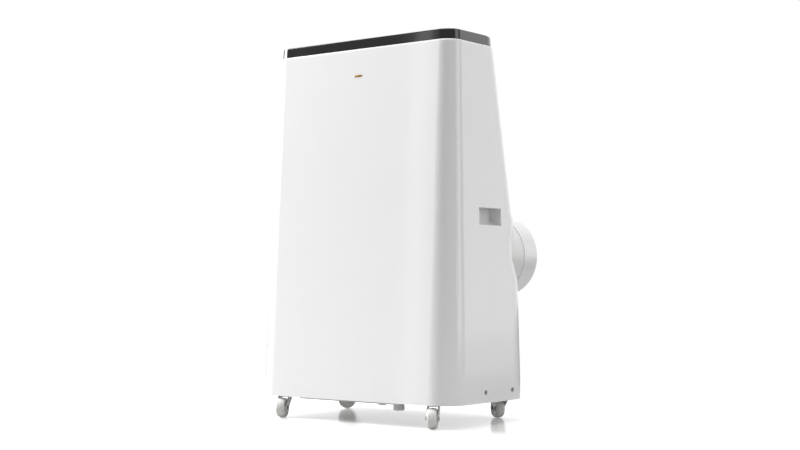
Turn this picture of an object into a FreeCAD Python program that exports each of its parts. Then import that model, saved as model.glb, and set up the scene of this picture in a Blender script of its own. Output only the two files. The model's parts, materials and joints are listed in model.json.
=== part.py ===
import FreeCAD, Part
import math
import os
import Sketcher

from FreeCAD import Placement, Rotation, Vector

# Portable air conditioner on four casters. Millimetres, +Z up, front facing -Y.
# The origin is on the floor, in the middle of the whole footprint. Depths are
# counted backwards from the foot of the front face, and "deep(...)" turns one
# into a Y coordinate.

SIZES = {
    # Casing
    "overall_height": 765.0,
    "body_width": 500.0,
    "front_y": -166.0,
    "skirt_z": 44.0,
    "shoulder_z": 745.0,
    "wall": 2.5,
    "gap": 0.3,
    "side_lean": 21.5,
    "front_lean": 37.0,
    "front_corner_low": 53.0,
    "front_corner_top": 33.0,
    "rear_corner": 77.0,
    "shoulder_round": 4.0,
    # Rear face: depth of each step and the height where it starts
    "rear_low": 295.0,
    "rear_recess": 279.0,
    "rear_ledge": 285.0,
    "rear_foot": 279.0,
    "rear_top": 228.0,
    "low_end_z": 285.0,
    "recess_start_z": 325.0,
    "recess_end_z": 360.0,
    "ledge_start_z": 380.0,
    "ledge_end_z": 403.0,
    "slope_start_z": 415.0,
    "rear_flat_trim": 0.1,
    "rear_half": 203.0,
    "seam_start": 150.0,
    "seam_lap": 10.0,
    "top_rim": 14.0,
    # Side handles
    "handle_front": 112.0,
    "handle_back": 188.0,
    "handle_low_z": 388.0,
    "handle_high_z": 422.0,
    "handle_reach": 26.0,
    "handle_flange": 6.0,
    "handle_ledge": 9.0,
    # Screws in the skirt
    "skirt_screw_z": 64.0,
    "skirt_screw_front": 119.0,
    "skirt_screw_back": 212.0,
    "screw_recess_r": 5.0,
    "screw_boss_r": 8.0,
    "screw_head_r": 4.0,
    "screw_head_t": 2.4,
    "screw_shank_r": 2.0,
    "screw_length": 16.0,
    "screw_slot": 1.0,
    "screw_fit": 0.05,
    "skirt_recess": 5.0,
    "skirt_boss": 9.0,
    "rear_screw_x": 132.0,
    "rear_screw_z": 57.0,
    # Badge
    "badge_half": 9.0,
    "badge_height": 4.0,
    "badge_z": 687.5,
    "badge_t": 0.8,
    # Top cover and its band
    "band_inset_low": 2.5,
    "band_inset_top": 4.0,
    "band_round": 2.5,
    "cover_wall": 2.5,
    "fascia_half": 112.0,
    "fascia_front": 54.0,
    "fascia_back": 98.0,
    "fascia_t": 1.5,
    "fascia_round": 6.0,
    "display_half": 27.0,
    "display_front": 63.0,
    "display_back": 89.0,
    "button_r": 6.5,
    "button_hole_r": 6.8,
    "button_flange_r": 8.5,
    "button_first_x": 46.0,
    "button_pitch": 24.0,
    "button_depth": 76.0,
    "button_rise": 0.9,
    "button_drop": 4.0,
    "button_stem_r": 2.5,
    "board_half": 106.0,
    "board_front": 58.0,
    "board_back": 94.0,
    "board_t": 1.6,
    "board_below": 12.0,
    "post_r": 3.0,
    # Outlet flap
    "flap_half": 168.0,
    "flap_front": 119.0,
    "flap_back": 203.5,
    "flap_t": 3.0,
    "flap_round": 6.0,
    "outlet_half": 169.0,
    "outlet_front": 118.0,
    "outlet_back": 206.0,
    "hinge_depth": 198.5,
    "hinge_z": 759.5,
    "hinge_pin_r": 2.0,
    "hinge_ear": 8.0,
    "hinge_ear_r": 2.6,
    "bearing_t": 6.0,
    "motor_front": 182.0,
    "motor_back": 202.0,
    "motor_low_z": 746.0,
    "motor_t": 14.0,
    "motor_shaft": 10.0,
    # Outlet duct and guard
    "duct_wall": 2.0,
    "duct_low_z": 690.0,
    "duct_low_front": 78.0,
    "duct_low_back": 152.0,
    "duct_low_left": -40.0,
    "duct_low_right": 105.0,
    "duct_top_half": 172.0,
    "duct_top_front": 114.0,
    "duct_top_back": 209.5,
    "guard_z": 742.0,
    "guard_pitch": 14.0,
    "guard_bar": 2.0,
    "guard_bar_height": 6.0,
    # Rear grilles, measured up from slope_start_z and from the floor
    "upper_grille_half": 150.0,
    "upper_grille_low": 40.0,
    "upper_grille_high": 290.0,
    "lower_grille_half": 140.0,
    "lower_grille_low": 78.0,
    "lower_grille_high": 234.0,
    "grille_border": 8.0,
    "grille_t": 4.0,
    "slat_t": 2.6,
    "slat_pitch": 8.0,
    "filter_t": 3.0,
    "filter_border": 6.0,
    "filter_sheet": 0.8,
    "filter_rib": 3.0,
    # Exhaust
    "exhaust_x": 143.0,
    "exhaust_z": 330.5,
    "exhaust_r": 82.0,
    "exhaust_back": 345.0,
    "exhaust_seat": 296.5,
    "exhaust_wall": 3.0,
    "collar_wall": 1.6,
    "spigot_length": 22.0,
    "spigot_gap": 0.5,
    "exhaust_root": 240.0,
    "rim_round": 2.0,
    # Base pan
    "pan_floor": 3.0,
    "pan_rim_z": 74.0,
    "pan_wall": 3.0,
    "sump_left": -140.0,
    "sump_right": 117.0,
    "sump_front": 18.0,
    "sump_back": 215.0,
    "sump_drop": 4.0,
    "socket_r": 9.0,
    "socket_top_z": 61.0,
    "dome_x": 61.0,
    "dome_depth": 36.0,
    "dome_r": 12.0,
    "dome_top_r": 7.0,
    "dome_drop": 3.5,
    "drain_x": 103.0,
    "drain_depth": 34.0,
    "drain_r": 11.0,
    "drain_drop": 12.0,
    "drain_plug_r": 6.0,
    "drain_plug_fit": 0.05,
    # Casters
    "stem_x": 190.0,
    "stem_front": 30.0,
    "stem_back": 262.0,
    "stem_r": 4.0,
    "stem_fit": 0.05,
    "stem_top_z": 60.0,
    "trail": 22.0,
    "wheel_r": 20.0,
    "wheel_half": 9.0,
    "wheel_crown": 1.6,
    "wheel_shoulder": 5.0,
    "wheel_dish": 1.5,
    "wheel_hub_r": 6.0,
    "wheel_rim_r": 15.0,
    "axle_r": 2.5,
    "axle_fit": 0.05,
    "axle_head_r": 4.2,
    "axle_head_t": 1.2,
    "fork_side_gap": 0.4,
    "fork_t": 2.2,
    "fork_crown_low_z": 41.0,
    "fork_crown_top_z": 43.7,
    "fork_back": 8.0,
    "fork_front": 15.0,
    "fork_eye_r": 6.5,
    "fork_neck": 4.0,
    "swivel_front_left": 25.0,
    "swivel_front_right": 30.0,
    "swivel_rear_left": -60.0,
    "swivel_rear_right": 235.0,
    # Drip tray between the two sections
    "tray_z": 430.0,
    "tray_t": 3.0,
    "tray_rim": 11.0,
    "tray_back": 245.0,
    # Side frames that carry the drip tray
    "frame_x": 205.0,
    "frame_front": 70.0,
    "frame_back": 172.0,
    "frame_t": 2.0,
    "frame_foot": 14.0,
    # Upper blower
    "blower_x": -30.0,
    "blower_z": 560.0,
    "blower_front": 80.0,
    "blower_back": 150.0,
    "blower_scroll_r": 122.0,
    "blower_wheel_r": 92.0,
    "blower_eye_r": 78.0,
    "scroll_wall": 2.0,
    "blade_count": 28,
    "blade_t": 1.6,
    "blade_reach": 16.0,
    "wheel_plate": 2.5,
    "wheel_clear": 4.0,
    "shaft_r": 3.0,
    "shaft_fit": 0.05,
    "hub_r": 11.0,
    "blower_motor_r": 40.0,
    "blower_motor_length": 36.0,
    # Evaporator
    "coil_half": 138.0,
    "coil_t": 32.0,
    "evaporator_front": 160.0,
    "evaporator_height": 246.0,
    "tube_r": 4.0,
    "tube_pitch": 25.0,
    "tube_over": 7.0,
    "end_plate": 1.2,
    # Condenser
    "condenser_front": 243.0,
    "condenser_left": -165.0,
    "condenser_right": 165.0,
    "condenser_low_z": 47.0,
    "condenser_high_z": 238.0,
    # Lower fan
    "fan_x": 20.0,
    "fan_z": 160.0,
    "fan_front": 176.0,
    "fan_back": 240.0,
    "fan_scroll_r": 92.0,
    "fan_wheel_r": 70.0,
    "fan_eye_r": 58.0,
    "fan_mouth_z": 246.0,
    "fan_motor_r": 38.0,
    "fan_motor_length": 44.0,
    "plenum_left": 57.0,
    "plenum_right": 208.0,
    "plenum_wide": 224.0,
    "plenum_step": 197.0,
    "plenum_front": 176.0,
    "plenum_top_z": 419.0,
    # Compressor
    "compressor_x": -122.0,
    "compressor_depth": 96.0,
    "compressor_r": 55.0,
    "compressor_foot_z": 60.0,
    "compressor_foot_t": 3.0,
    "compressor_top_z": 250.0,
    "compressor_dome": 18.0,
    "mount_circle_r": 66.0,
    "mount_r": 9.0,
    "mount_pin_r": 4.0,
    "accumulator_x": -42.0,
    "accumulator_depth": 92.0,
    "accumulator_r": 20.0,
    "bracket_fit": 0.02,
    "accumulator_low_z": 96.0,
    "accumulator_high_z": 232.0,
    "pipe_r": 4.0,
    "liquid_pipe_r": 3.0,
    # Electrics
    "box_left": 122.0,
    "box_right": 204.0,
    "box_front": 62.0,
    "box_back": 150.0,
    "box_high_z": 600.0,
    "box_wall": 2.0,
    "main_board_t": 1.6,
    "terminal_low": 12.0,
    "terminal_high": 140.0,
    "relay_first": 16.0,
    "relay_pitch": 28.0,
    "relay_height": 18.0,
    "capacitor_r": 17.0,
    "capacitor_length": 70.0,
    # Cord gland and rear drain
    "gland_x": -172.0,
    "gland_z": 262.0,
    "gland_r": 11.0,
    "gland_bore_r": 4.5,
    "gland_nut_r": 14.0,
    "rear_drain_x": -120.0,
    "rear_drain_z": 262.0,
    "rear_drain_r": 9.0,
    "spout_r": 6.0,
    "spout_bore_r": 4.0,
    "cap_t": 10.0,
}

# Names of the four corners, with the sign of X, the end and the swivel size
CORNERS = {
    "front_left": (-1, "stem_front", "swivel_front_left"),
    "front_right": (1, "stem_front", "swivel_front_right"),
    "rear_left": (-1, "stem_back", "swivel_rear_left"),
    "rear_right": (1, "stem_back", "swivel_rear_right"),
}
EDGE_TOLERANCE = 0.01

doc = FreeCAD.newDocument("PortableAirConditioner")
sheet = doc.addObject("Spreadsheet::Sheet", "Sizes")
for row, (alias, number) in enumerate(SIZES.items(), start=1):
    cell = "A%d" % row
    sheet.set(cell, str(number))
    sheet.setAlias(cell, alias)
doc.recompute()

nodes = []


class Dim:
    """A size that follows the sheet: its expression and its value now."""

    def __init__(self, text, value):
        self.text = text
        self.value = value

    def __add__(self, other):
        other = as_dim(other)
        return Dim("(%s + %s)" % (self.text, other.text), self.value + other.value)

    def __sub__(self, other):
        other = as_dim(other)
        return Dim("(%s - %s)" % (self.text, other.text), self.value - other.value)

    def __mul__(self, other):
        other = as_dim(other)
        return Dim("(%s * %s)" % (self.text, other.text), self.value * other.value)

    def __truediv__(self, other):
        other = as_dim(other)
        return Dim("(%s / %s)" % (self.text, other.text), self.value / other.value)

    def __neg__(self):
        return Dim("(0 - %s)" % self.text, -self.value)


def as_dim(number):
    """A plain number as a Dim."""
    if isinstance(number, Dim):
        return number
    return Dim(repr(float(number)), float(number))


def size(alias):
    """The sheet's entry of that name."""
    return Dim("Sizes.%s" % alias, SIZES[alias])


def sine(angle):
    """Sine of an angle in degrees."""
    return Dim("sin(%s)" % angle.text, math.sin(math.radians(angle.value)))


def cosine(angle):
    """Cosine of an angle in degrees."""
    return Dim("cos(%s)" % angle.text, math.cos(math.radians(angle.value)))


def deep(depth):
    """Y coordinate of a depth behind the foot of the front face."""
    if isinstance(depth, str):
        depth = size(depth)
    return size("front_y") + depth


ZERO = as_dim(0)
WALL = size("wall")
GAP = size("gap")
SLOPE_RUN = size("rear_foot") - size("rear_top")
SLOPE_RISE = size("shoulder_z") - size("slope_start_z")
SLOPE = Dim(
    "atan(%s / %s)" % (SLOPE_RUN.text, SLOPE_RISE.text),
    math.degrees(math.atan(SLOPE_RUN.value / SLOPE_RISE.value)),
)
AXES = {
    "X": Rotation(Vector(0, 1, 0), 90),
    "Y": Rotation(Vector(1, 0, 0), -90),
    "Z": Rotation(),
}


def bind(thing, prop, dim):
    """Make one property follow its expression."""
    thing.setExpression(prop, as_dim(dim).text)


def place(thing, x, y, z, rotation=Rotation()):
    """Put a thing at a point that follows the sheet."""
    x, y, z = as_dim(x), as_dim(y), as_dim(z)
    thing.Placement = Placement(Vector(x.value, y.value, z.value), rotation)
    bind(thing, "Placement.Base.x", x)
    bind(thing, "Placement.Base.y", y)
    bind(thing, "Placement.Base.z", z)
    return thing


def keep(label, thing):
    """Name a finished sub-part and list it for writing."""
    thing.Label = label
    nodes.append(thing)
    return thing


def box(x, y, z, name="Block"):
    """A block between low and high planes on each axis."""
    block = doc.addObject("Part::Box", name)
    bind(block, "Length", as_dim(x[1]) - x[0])
    bind(block, "Width", as_dim(y[1]) - y[0])
    bind(block, "Height", as_dim(z[1]) - z[0])
    return place(block, x[0], y[0], z[0])


def rod(x, y, z, radius, length, axis="Z", name="Rod"):
    """A cylinder that starts at a point and runs along an axis."""
    cylinder = doc.addObject("Part::Cylinder", name)
    bind(cylinder, "Radius", radius)
    bind(cylinder, "Height", length)
    return place(cylinder, x, y, z, AXES[axis])


def cut(base, tools, name="Cut"):
    """Take one or more tools away from a base."""
    tool = tools[0] if len(tools) == 1 else fuse(tools)
    result = doc.addObject("Part::Cut", name)
    result.Base = base
    result.Tool = tool
    result.Refine = True
    return result


def fuse(things, name="Fuse"):
    """Join things into one."""
    result = doc.addObject("Part::MultiFuse", name)
    result.Shapes = things
    result.Refine = True
    return result


def common(things, name="Common"):
    """Keep what the things share."""
    result = doc.addObject("Part::MultiCommon", name)
    result.Shapes = things
    result.Refine = True
    return result


def tube(x, y, z, radius, bore, length, axis="Z", name="Tube"):
    """A pipe that starts at a point and runs along an axis."""
    outside = rod(x, y, z, radius, length, axis)
    inside = rod(x, y, z, bore, length, axis)
    return cut(outside, [inside], name)


def plane_of(body, role):
    """One of a body's own origin planes."""
    return next(f for f in body.Origin.OriginFeatures if f.Role == role)


def sketch_in(body, role):
    """A sketch on one of a body's own origin planes."""
    sketch = body.newObject("Sketcher::SketchObject", "Outline")
    sketch.AttachmentSupport = (plane_of(body, role), [""])
    sketch.MapMode = "FlatFace"
    return sketch


def pin_value(sketch, kind, args, dim, name):
    """Add a constraint and make it follow its expression."""
    index = sketch.addConstraint(Sketcher.Constraint(kind, *args, dim.value))
    sketch.renameConstraint(index, name)
    sketch.setExpression("Constraints.%s" % name, dim.text)


def polygon(sketch, corners):
    """A closed outline of straight sides through corners that follow the sheet."""
    corners = [(as_dim(a), as_dim(b)) for a, b in corners]
    points = [Vector(a.value, b.value, 0) for a, b in corners]
    count = len(points)
    for i in range(count):
        sketch.addGeometry(Part.LineSegment(points[i], points[(i + 1) % count]), False)
    for i in range(count):
        joint = Sketcher.Constraint("Coincident", i, 2, (i + 1) % count, 1)
        sketch.addConstraint(joint)
    for i, (a, b) in enumerate(corners):
        pin_value(sketch, "DistanceX", (-1, 1, i, 1), a, "across%d" % i)
        pin_value(sketch, "DistanceY", (-1, 1, i, 1), b, "along%d" % i)


def outline(sketch, half, front, back, front_round, rear_round):
    """A rectangle about X = 0 with one radius at the front corners and one behind."""
    h, y0, y1 = half.value, front.value, back.value
    rf, rb = front_round.value, rear_round.value
    up = Vector(0, 0, 1)
    quarter = math.pi / 2

    def line(xa, ya, xb, yb):
        sketch.addGeometry(Part.LineSegment(Vector(xa, ya, 0), Vector(xb, yb, 0)), False)

    def arc(xc, yc, radius, turn):
        circle = Part.Circle(Vector(xc, yc, 0), up, radius)
        start = turn * quarter
        sketch.addGeometry(Part.ArcOfCircle(circle, start, start + quarter), False)

    line(rf - h, y0, h - rf, y0)
    arc(h - rf, y0 + rf, rf, 3)
    line(h, y0 + rf, h, y1 - rb)
    arc(h - rb, y1 - rb, rb, 0)
    line(h - rb, y1, rb - h, y1)
    arc(rb - h, y1 - rb, rb, 1)
    line(-h, y1 - rb, -h, y0 + rf)
    arc(rf - h, y0 + rf, rf, 2)
    sides = 8
    for i in range(sides):
        sketch.addConstraint(Sketcher.Constraint("Tangent", i, 2, (i + 1) % sides, 1))
    for i, kind in ((0, "Horizontal"), (2, "Vertical"), (4, "Horizontal"), (6, "Vertical")):
        sketch.addConstraint(Sketcher.Constraint(kind, i))
    pin_value(sketch, "DistanceX", (-1, 1, 2, 1), half, "right")
    pin_value(sketch, "DistanceX", (-1, 1, 6, 1), -half, "left")
    pin_value(sketch, "DistanceY", (-1, 1, 0, 1), front, "front")
    pin_value(sketch, "DistanceY", (-1, 1, 4, 1), back, "back")
    for i, radius in ((1, front_round), (3, rear_round), (5, rear_round), (7, front_round)):
        pin_value(sketch, "Radius", (i,), radius, "round%d" % i)


def turned(corners, x, y, z, rotation=Rotation(), name="Turned"):
    """A solid of revolution about its own Z; corners are radius and height."""
    body = doc.addObject("PartDesign::Body", name)
    sketch = sketch_in(body, "XZ_Plane")
    polygon(sketch, corners)
    turn = body.newObject("PartDesign::Revolution", "Turn")
    turn.Profile = sketch
    turn.ReferenceAxis = (sketch, ["V_Axis"])
    turn.Angle = 360
    sketch.Visibility = False
    return place(body, x, y, z, rotation)


def padded(corners, role, length, x, y, z, rotation=Rotation(), name="Padded"):
    """A straight-sided outline on an origin plane, padded both ways from it."""
    body = doc.addObject("PartDesign::Body", name)
    sketch = sketch_in(body, role)
    polygon(sketch, corners)
    pad = body.newObject("PartDesign::Pad", "Pad")
    pad.Profile = sketch
    pad.Midplane = True
    bind(pad, "Length", length)
    return place(body, x, y, z, rotation)


def plate(half, front, back, z, radius, name="Plate"):
    """A plate with rounded corners between two heights, about X = 0."""
    body = doc.addObject("PartDesign::Body", name)
    sketch = sketch_in(body, "XY_Plane")
    outline(sketch, half, front, back, radius, radius)
    pad = body.newObject("PartDesign::Pad", "Pad")
    pad.Profile = sketch
    bind(pad, "Length", as_dim(z[1]) - z[0])
    return place(body, ZERO, ZERO, z[0])


def edge_fillet(base, radius, picked, name="Rounded"):
    """Round the edges of a base that a test picks."""
    doc.recompute()
    chosen = [i for i, e in enumerate(base.Shape.Edges, start=1) if picked(e)]
    rounded = doc.addObject("Part::Fillet", name)
    rounded.Base = base
    rounded.Edges = [(i, radius.value, radius.value) for i in chosen]
    return rounded


def flat_at(height):
    """A test for edges that lie in one level plane."""

    def test(edge):
        return all(abs(v.Z - height) < EDGE_TOLERANCE for v in edge.Vertexes)

    return test


# ---------------------------------------------------------------- casing lofts


def rise_share(z):
    """How far up the casing a height is, from 0 at the skirt to 1 at the shoulder."""
    return (z - size("skirt_z")) / (size("shoulder_z") - size("skirt_z"))


def half_width(z):
    """Half the casing's width at a height."""
    return size("body_width") / 2 - size("side_lean") * rise_share(z)


def front_at(z):
    """Y of the casing's front face at a height."""
    return size("front_y") + size("front_lean") * rise_share(z)


def front_round_at(z):
    """Radius of the front corners at a height."""
    shrink = size("front_corner_low") - size("front_corner_top")
    return size("front_corner_low") - shrink * rise_share(z)


def casing_loft(inset, bottom_z, top_z, name):
    """The casing's outside, or the same shape inset by a wall, as one solid."""
    levels = [
        (bottom_z, "rear_low"),
        (size("low_end_z"), "rear_low"),
        (size("recess_start_z"), "rear_recess"),
        (size("recess_end_z"), "rear_recess"),
        (size("ledge_start_z"), "rear_ledge"),
        (size("ledge_end_z"), "rear_ledge"),
        (size("slope_start_z"), "rear_foot"),
        (top_z, "rear_top"),
    ]
    sections = []
    for z, rear in levels:
        spare = size("rear_flat_trim") if rear == "rear_low" else ZERO
        section = doc.addObject("Sketcher::SketchObject", "%sSection" % name)
        place(section, ZERO, ZERO, z)
        outline(
            section,
            half_width(z) - inset,
            front_at(z) + inset,
            deep(rear) - inset + spare,
            front_round_at(z) - inset,
            size("rear_corner") - inset,
        )
        sections.append(section)
    loft = doc.addObject("Part::Loft", name)
    loft.Sections = sections
    loft.Solid = True
    loft.Ruled = True
    far = size("body_width")
    flat = box((-far, far), (deep(-far), deep("rear_low") - inset), (ZERO, far * 2))
    return common([loft, flat], "%sTrimmed" % name)


def shoulder_prism(inset, z, name):
    """An upright block with the outline of the shoulder, inset all round."""
    top = size("shoulder_z")
    body = doc.addObject("PartDesign::Body", name)
    sketch = sketch_in(body, "XY_Plane")
    outline(
        sketch,
        half_width(top) - inset,
        front_at(top) + inset,
        deep("rear_top") - inset,
        size("front_corner_top") - inset,
        size("rear_corner") - inset,
    )
    pad = body.newObject("PartDesign::Pad", "Pad")
    pad.Profile = sketch
    bind(pad, "Length", as_dim(z[1]) - z[0])
    return place(body, ZERO, ZERO, z[0])


def on_slope(block, along, out, x):
    """Lay a block on the sloped rear face: x, distance up the slope, distance out."""
    y = deep("rear_foot") - sine(SLOPE) * along + cosine(SLOPE) * out
    z = size("slope_start_z") + cosine(SLOPE) * along + sine(SLOPE) * out
    place(block, x, y, z, Rotation(Vector(1, 0, 0), SLOPE.value))
    bind(block, "Placement.Rotation.Angle", SLOPE)
    return block


def slope_box(x, out, along):
    """A block in the sloped face's own directions: across, outwards and upwards."""
    block = doc.addObject("Part::Box", "SlopeBlock")
    bind(block, "Length", as_dim(x[1]) - x[0])
    bind(block, "Width", as_dim(out[1]) - out[0])
    bind(block, "Height", as_dim(along[1]) - along[0])
    return on_slope(block, as_dim(along[0]), as_dim(out[0]), as_dim(x[0]))


def side_hole(sign, z, y, radius, outer, length, name="SideHole"):
    """A cylinder along X that starts at a given half-width and runs inwards."""
    x = outer - length if sign > 0 else -outer
    return rod(x, y, z, radius, length, "X", name)


def handle_block(sign, grow, inner, outer):
    """A square-cornered block across one side wall, round the handle opening."""
    y = (deep("handle_front") - grow, deep("handle_back") + grow)
    z = (size("handle_low_z") - grow, size("handle_high_z") + grow)
    x = (inner, outer) if sign > 0 else (-outer, -inner)
    return box(x, y, z)


def build_casing():
    """The wrap-round front shell, the rear panel and the two handle cups."""
    skirt, shoulder = size("skirt_z"), size("shoulder_z")
    far = size("body_width")
    below = skirt - WALL
    outside = casing_loft(ZERO, skirt, shoulder, "CasingOutside")
    rounded = edge_fillet(
        outside, size("shoulder_round"), flat_at(shoulder.value), "CasingRounded"
    )
    inside = casing_loft(WALL, below, shoulder - WALL, "CasingInside")
    liner = casing_loft(WALL * 2, below, shoulder - WALL * 2, "CasingLiner")
    hollow = shoulder_prism(size("top_rim"), (shoulder - WALL * 2, shoulder + WALL), "TopHole")
    shell = cut(rounded, [inside, hollow], "CasingShell")
    lining = cut(inside, [liner], "CasingLining")

    seam = size("rear_half")
    upright = (below, shoulder + WALL)
    behind = (deep("seam_start"), deep(far))
    rear_window = box((-seam, seam), behind, upright, "RearWindow")
    lap = size("seam_lap")
    lap_z = (size("pan_rim_z") + GAP, shoulder - WALL * 2)
    lap_joined = [
        box((seam, seam + lap), behind, lap_z),
        box((-seam - lap, -seam), behind, lap_z),
    ]
    lap_free = [
        box((seam - lap, seam + GAP), behind, lap_z),
        box((-seam - GAP, lap - seam), behind, lap_z),
    ]
    relief = casing_loft(WALL + GAP, below, shoulder - WALL - GAP, "CasingRelief")
    laps = fuse(
        [
            common([lining, fuse(lap_joined)]),
            common([cut(relief, [liner]), fuse(lap_free)]),
        ],
        "SeamLaps",
    )

    collar_out = rod(
        size("exhaust_x"), deep("exhaust_root"), size("exhaust_z"),
        size("exhaust_r") - size("exhaust_wall") + size("collar_wall"),
        size("exhaust_seat") - size("exhaust_root"), "Y", "CollarOutside",
    )
    collar_bore = rod(
        size("exhaust_x"), deep("seam_start"), size("exhaust_z"),
        size("exhaust_r") - size("exhaust_wall"), far, "Y", "CollarBore",
    )
    collar_clear = rod(
        size("exhaust_x"), deep("seam_start"), size("exhaust_z"),
        size("exhaust_r") + GAP, far, "Y", "CollarClearance",
    )

    screw_bosses, screw_pockets = [], []
    for sign in (-1, 1):
        for depth in ("skirt_screw_front", "skirt_screw_back"):
            z, y = size("skirt_screw_z"), deep(depth)
            edge = half_width(z)
            boss = size("skirt_boss")
            screw_bosses.append(side_hole(sign, z, y, size("screw_boss_r"), edge - WALL / 2, boss))
            screw_pockets.append(
                side_hole(sign, z, y, size("screw_recess_r"), edge + boss, size("skirt_recess") + boss)
            )
            hole_r = size("screw_shank_r") + GAP
            screw_pockets.append(side_hole(sign, z, y, hole_r, edge, boss * 2))

    openings = [
        handle_block(sign, ZERO, half_width(size("handle_low_z")) - far / 20, far / 2)
        for sign in (-1, 1)
    ]
    front = fuse([cut(shell, [rear_window]), laps] + screw_bosses, "FrontRaw")
    keep("front_shell", cut(front, [collar_clear] + screw_pockets + openings))

    panel_window = box((GAP - seam, seam - GAP), (behind[0] + GAP, behind[1]), upright)
    panel = fuse([common([shell, panel_window]), collar_out], "PanelRaw")
    grille_z = (size("lower_grille_low"), size("lower_grille_high"))
    lower_half, upper_half = size("lower_grille_half"), size("upper_grille_half")
    lower_hole = box(
        (-lower_half, lower_half), (deep("rear_low") - WALL * 3, deep("rear_low") + WALL), grille_z
    )
    upper_hole = slope_box(
        (-upper_half, upper_half), (-WALL * 4, WALL),
        (size("upper_grille_low"), size("upper_grille_high")),
    )
    small_holes = [
        rod(x, deep("rear_recess") - WALL * 2, z, r, far / 10, "Y")
        for x, z, r in (
            (size("gland_x"), size("gland_z"), size("gland_r") + GAP),
            (size("rear_drain_x"), size("rear_drain_z"), size("spout_r") + GAP),
        )
    ]
    for x in rear_screw_positions():
        hole_r = size("screw_shank_r") + GAP
        small_holes.append(
            rod(x, deep("rear_low") - far / 10, size("rear_screw_z"), hole_r, far / 5, "Y")
        )
    pierced = cut(panel, [collar_bore, lower_hole, upper_hole])
    keep("rear_panel", cut(pierced, small_holes))

    for sign, label in ((-1, "handle_left"), (1, "handle_right")):
        build_handle(sign, label, inside, lining)


def rear_screw_positions():
    """X of the three screws along the foot of the rear panel."""
    return [-size("rear_screw_x"), ZERO, size("rear_screw_x")]


def build_handle(sign, label, inside, lining):
    """A moulded cup behind one side opening, with a sloped finger ledge."""
    outer = size("body_width") / 2
    face = half_width(size("handle_low_z"))
    back = face - size("handle_reach")
    wall = WALL
    flange = common([lining, handle_block(sign, size("handle_flange"), back, outer)])
    cup = common([inside, handle_block(sign, wall, back - wall, outer)])
    hollow = handle_block(sign, ZERO, back, outer)
    lip = size("handle_ledge")
    low, high = size("handle_low_z"), size("handle_high_z")
    wedge = padded(
        [
            (back * sign, low - wall / 2),
            ((face - wall * 2) * sign, low - wall / 2),
            (back * sign, low + lip),
        ],
        "XZ_Plane",
        size("handle_back") - size("handle_front") + wall,
        ZERO,
        deep((size("handle_front") + size("handle_back")) / 2),
        ZERO,
        name="Ledge",
    )
    body = cut(fuse([flange, cup]), [hollow])
    keep(label, fuse([body, common([wedge, inside])], label))


# ---------------------------------------------------------------- screws


def screw(x, y, z, rotation, name="Screw"):
    """A pan-head screw along its own Z, head first, with one slot."""
    head_r, head_t = size("screw_head_r"), size("screw_head_t")
    shank_r, length = size("screw_shank_r"), size("screw_length")
    blank = turned(
        [
            (ZERO, ZERO),
            (head_r, ZERO),
            (head_r, head_t / 2),
            (head_r - head_t / 2, head_t),
            (ZERO, head_t),
        ],
        ZERO, ZERO, ZERO,
    )
    shank = rod(ZERO, ZERO, -length, shank_r, length + head_t / 2)
    slot = size("screw_slot")
    groove = box((-head_r, head_r), (-slot / 2, slot / 2), (head_t / 2, head_t + slot))
    cross = box((-slot / 2, slot / 2), (-head_r / 2, head_r / 2), (head_t / 2, head_t + slot))
    whole = cut(fuse([blank, shank]), [groove, cross], name)
    return place(whole, x, y, z, rotation)


def group(label, things):
    """Separate solids of the same kind under one name."""
    compound = doc.addObject("Part::Compound", label)
    compound.Links = things
    return keep(label, compound)


def build_screws():
    """Two screws in each side of the skirt and three at the foot of the rear panel."""
    screws = []
    for sign in (-1, 1):
        turn = Rotation(Vector(0, 1, 0), 90 * sign)
        for depth in ("skirt_screw_front", "skirt_screw_back"):
            x = (half_width(size("skirt_screw_z")) - size("skirt_recess")) * sign
            screws.append(screw(x, deep(depth), size("skirt_screw_z"), turn))
    for x in rear_screw_positions():
        screws.append(screw(x, deep("rear_low"), size("rear_screw_z"), AXES["Y"]))
    group("case_screws", screws)


# ---------------------------------------------------------------- top


def build_badge():
    """A small plain bar on the upper front face."""
    z = size("badge_z")
    half, rise, thick = size("badge_half"), size("badge_height"), size("badge_t")
    lean = (size("front_lean") / (size("shoulder_z") - size("skirt_z"))).value
    bar = doc.addObject("Part::Box", "BadgeBlank")
    bind(bar, "Length", half * 2)
    bind(bar, "Width", thick)
    bind(bar, "Height", rise)
    turn = Rotation(Vector(1, 0, 0), -math.degrees(math.atan(lean)))
    place(bar, -half, front_at(z) - thick - GAP / 10, z, turn)
    keep("badge", bar)


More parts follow.
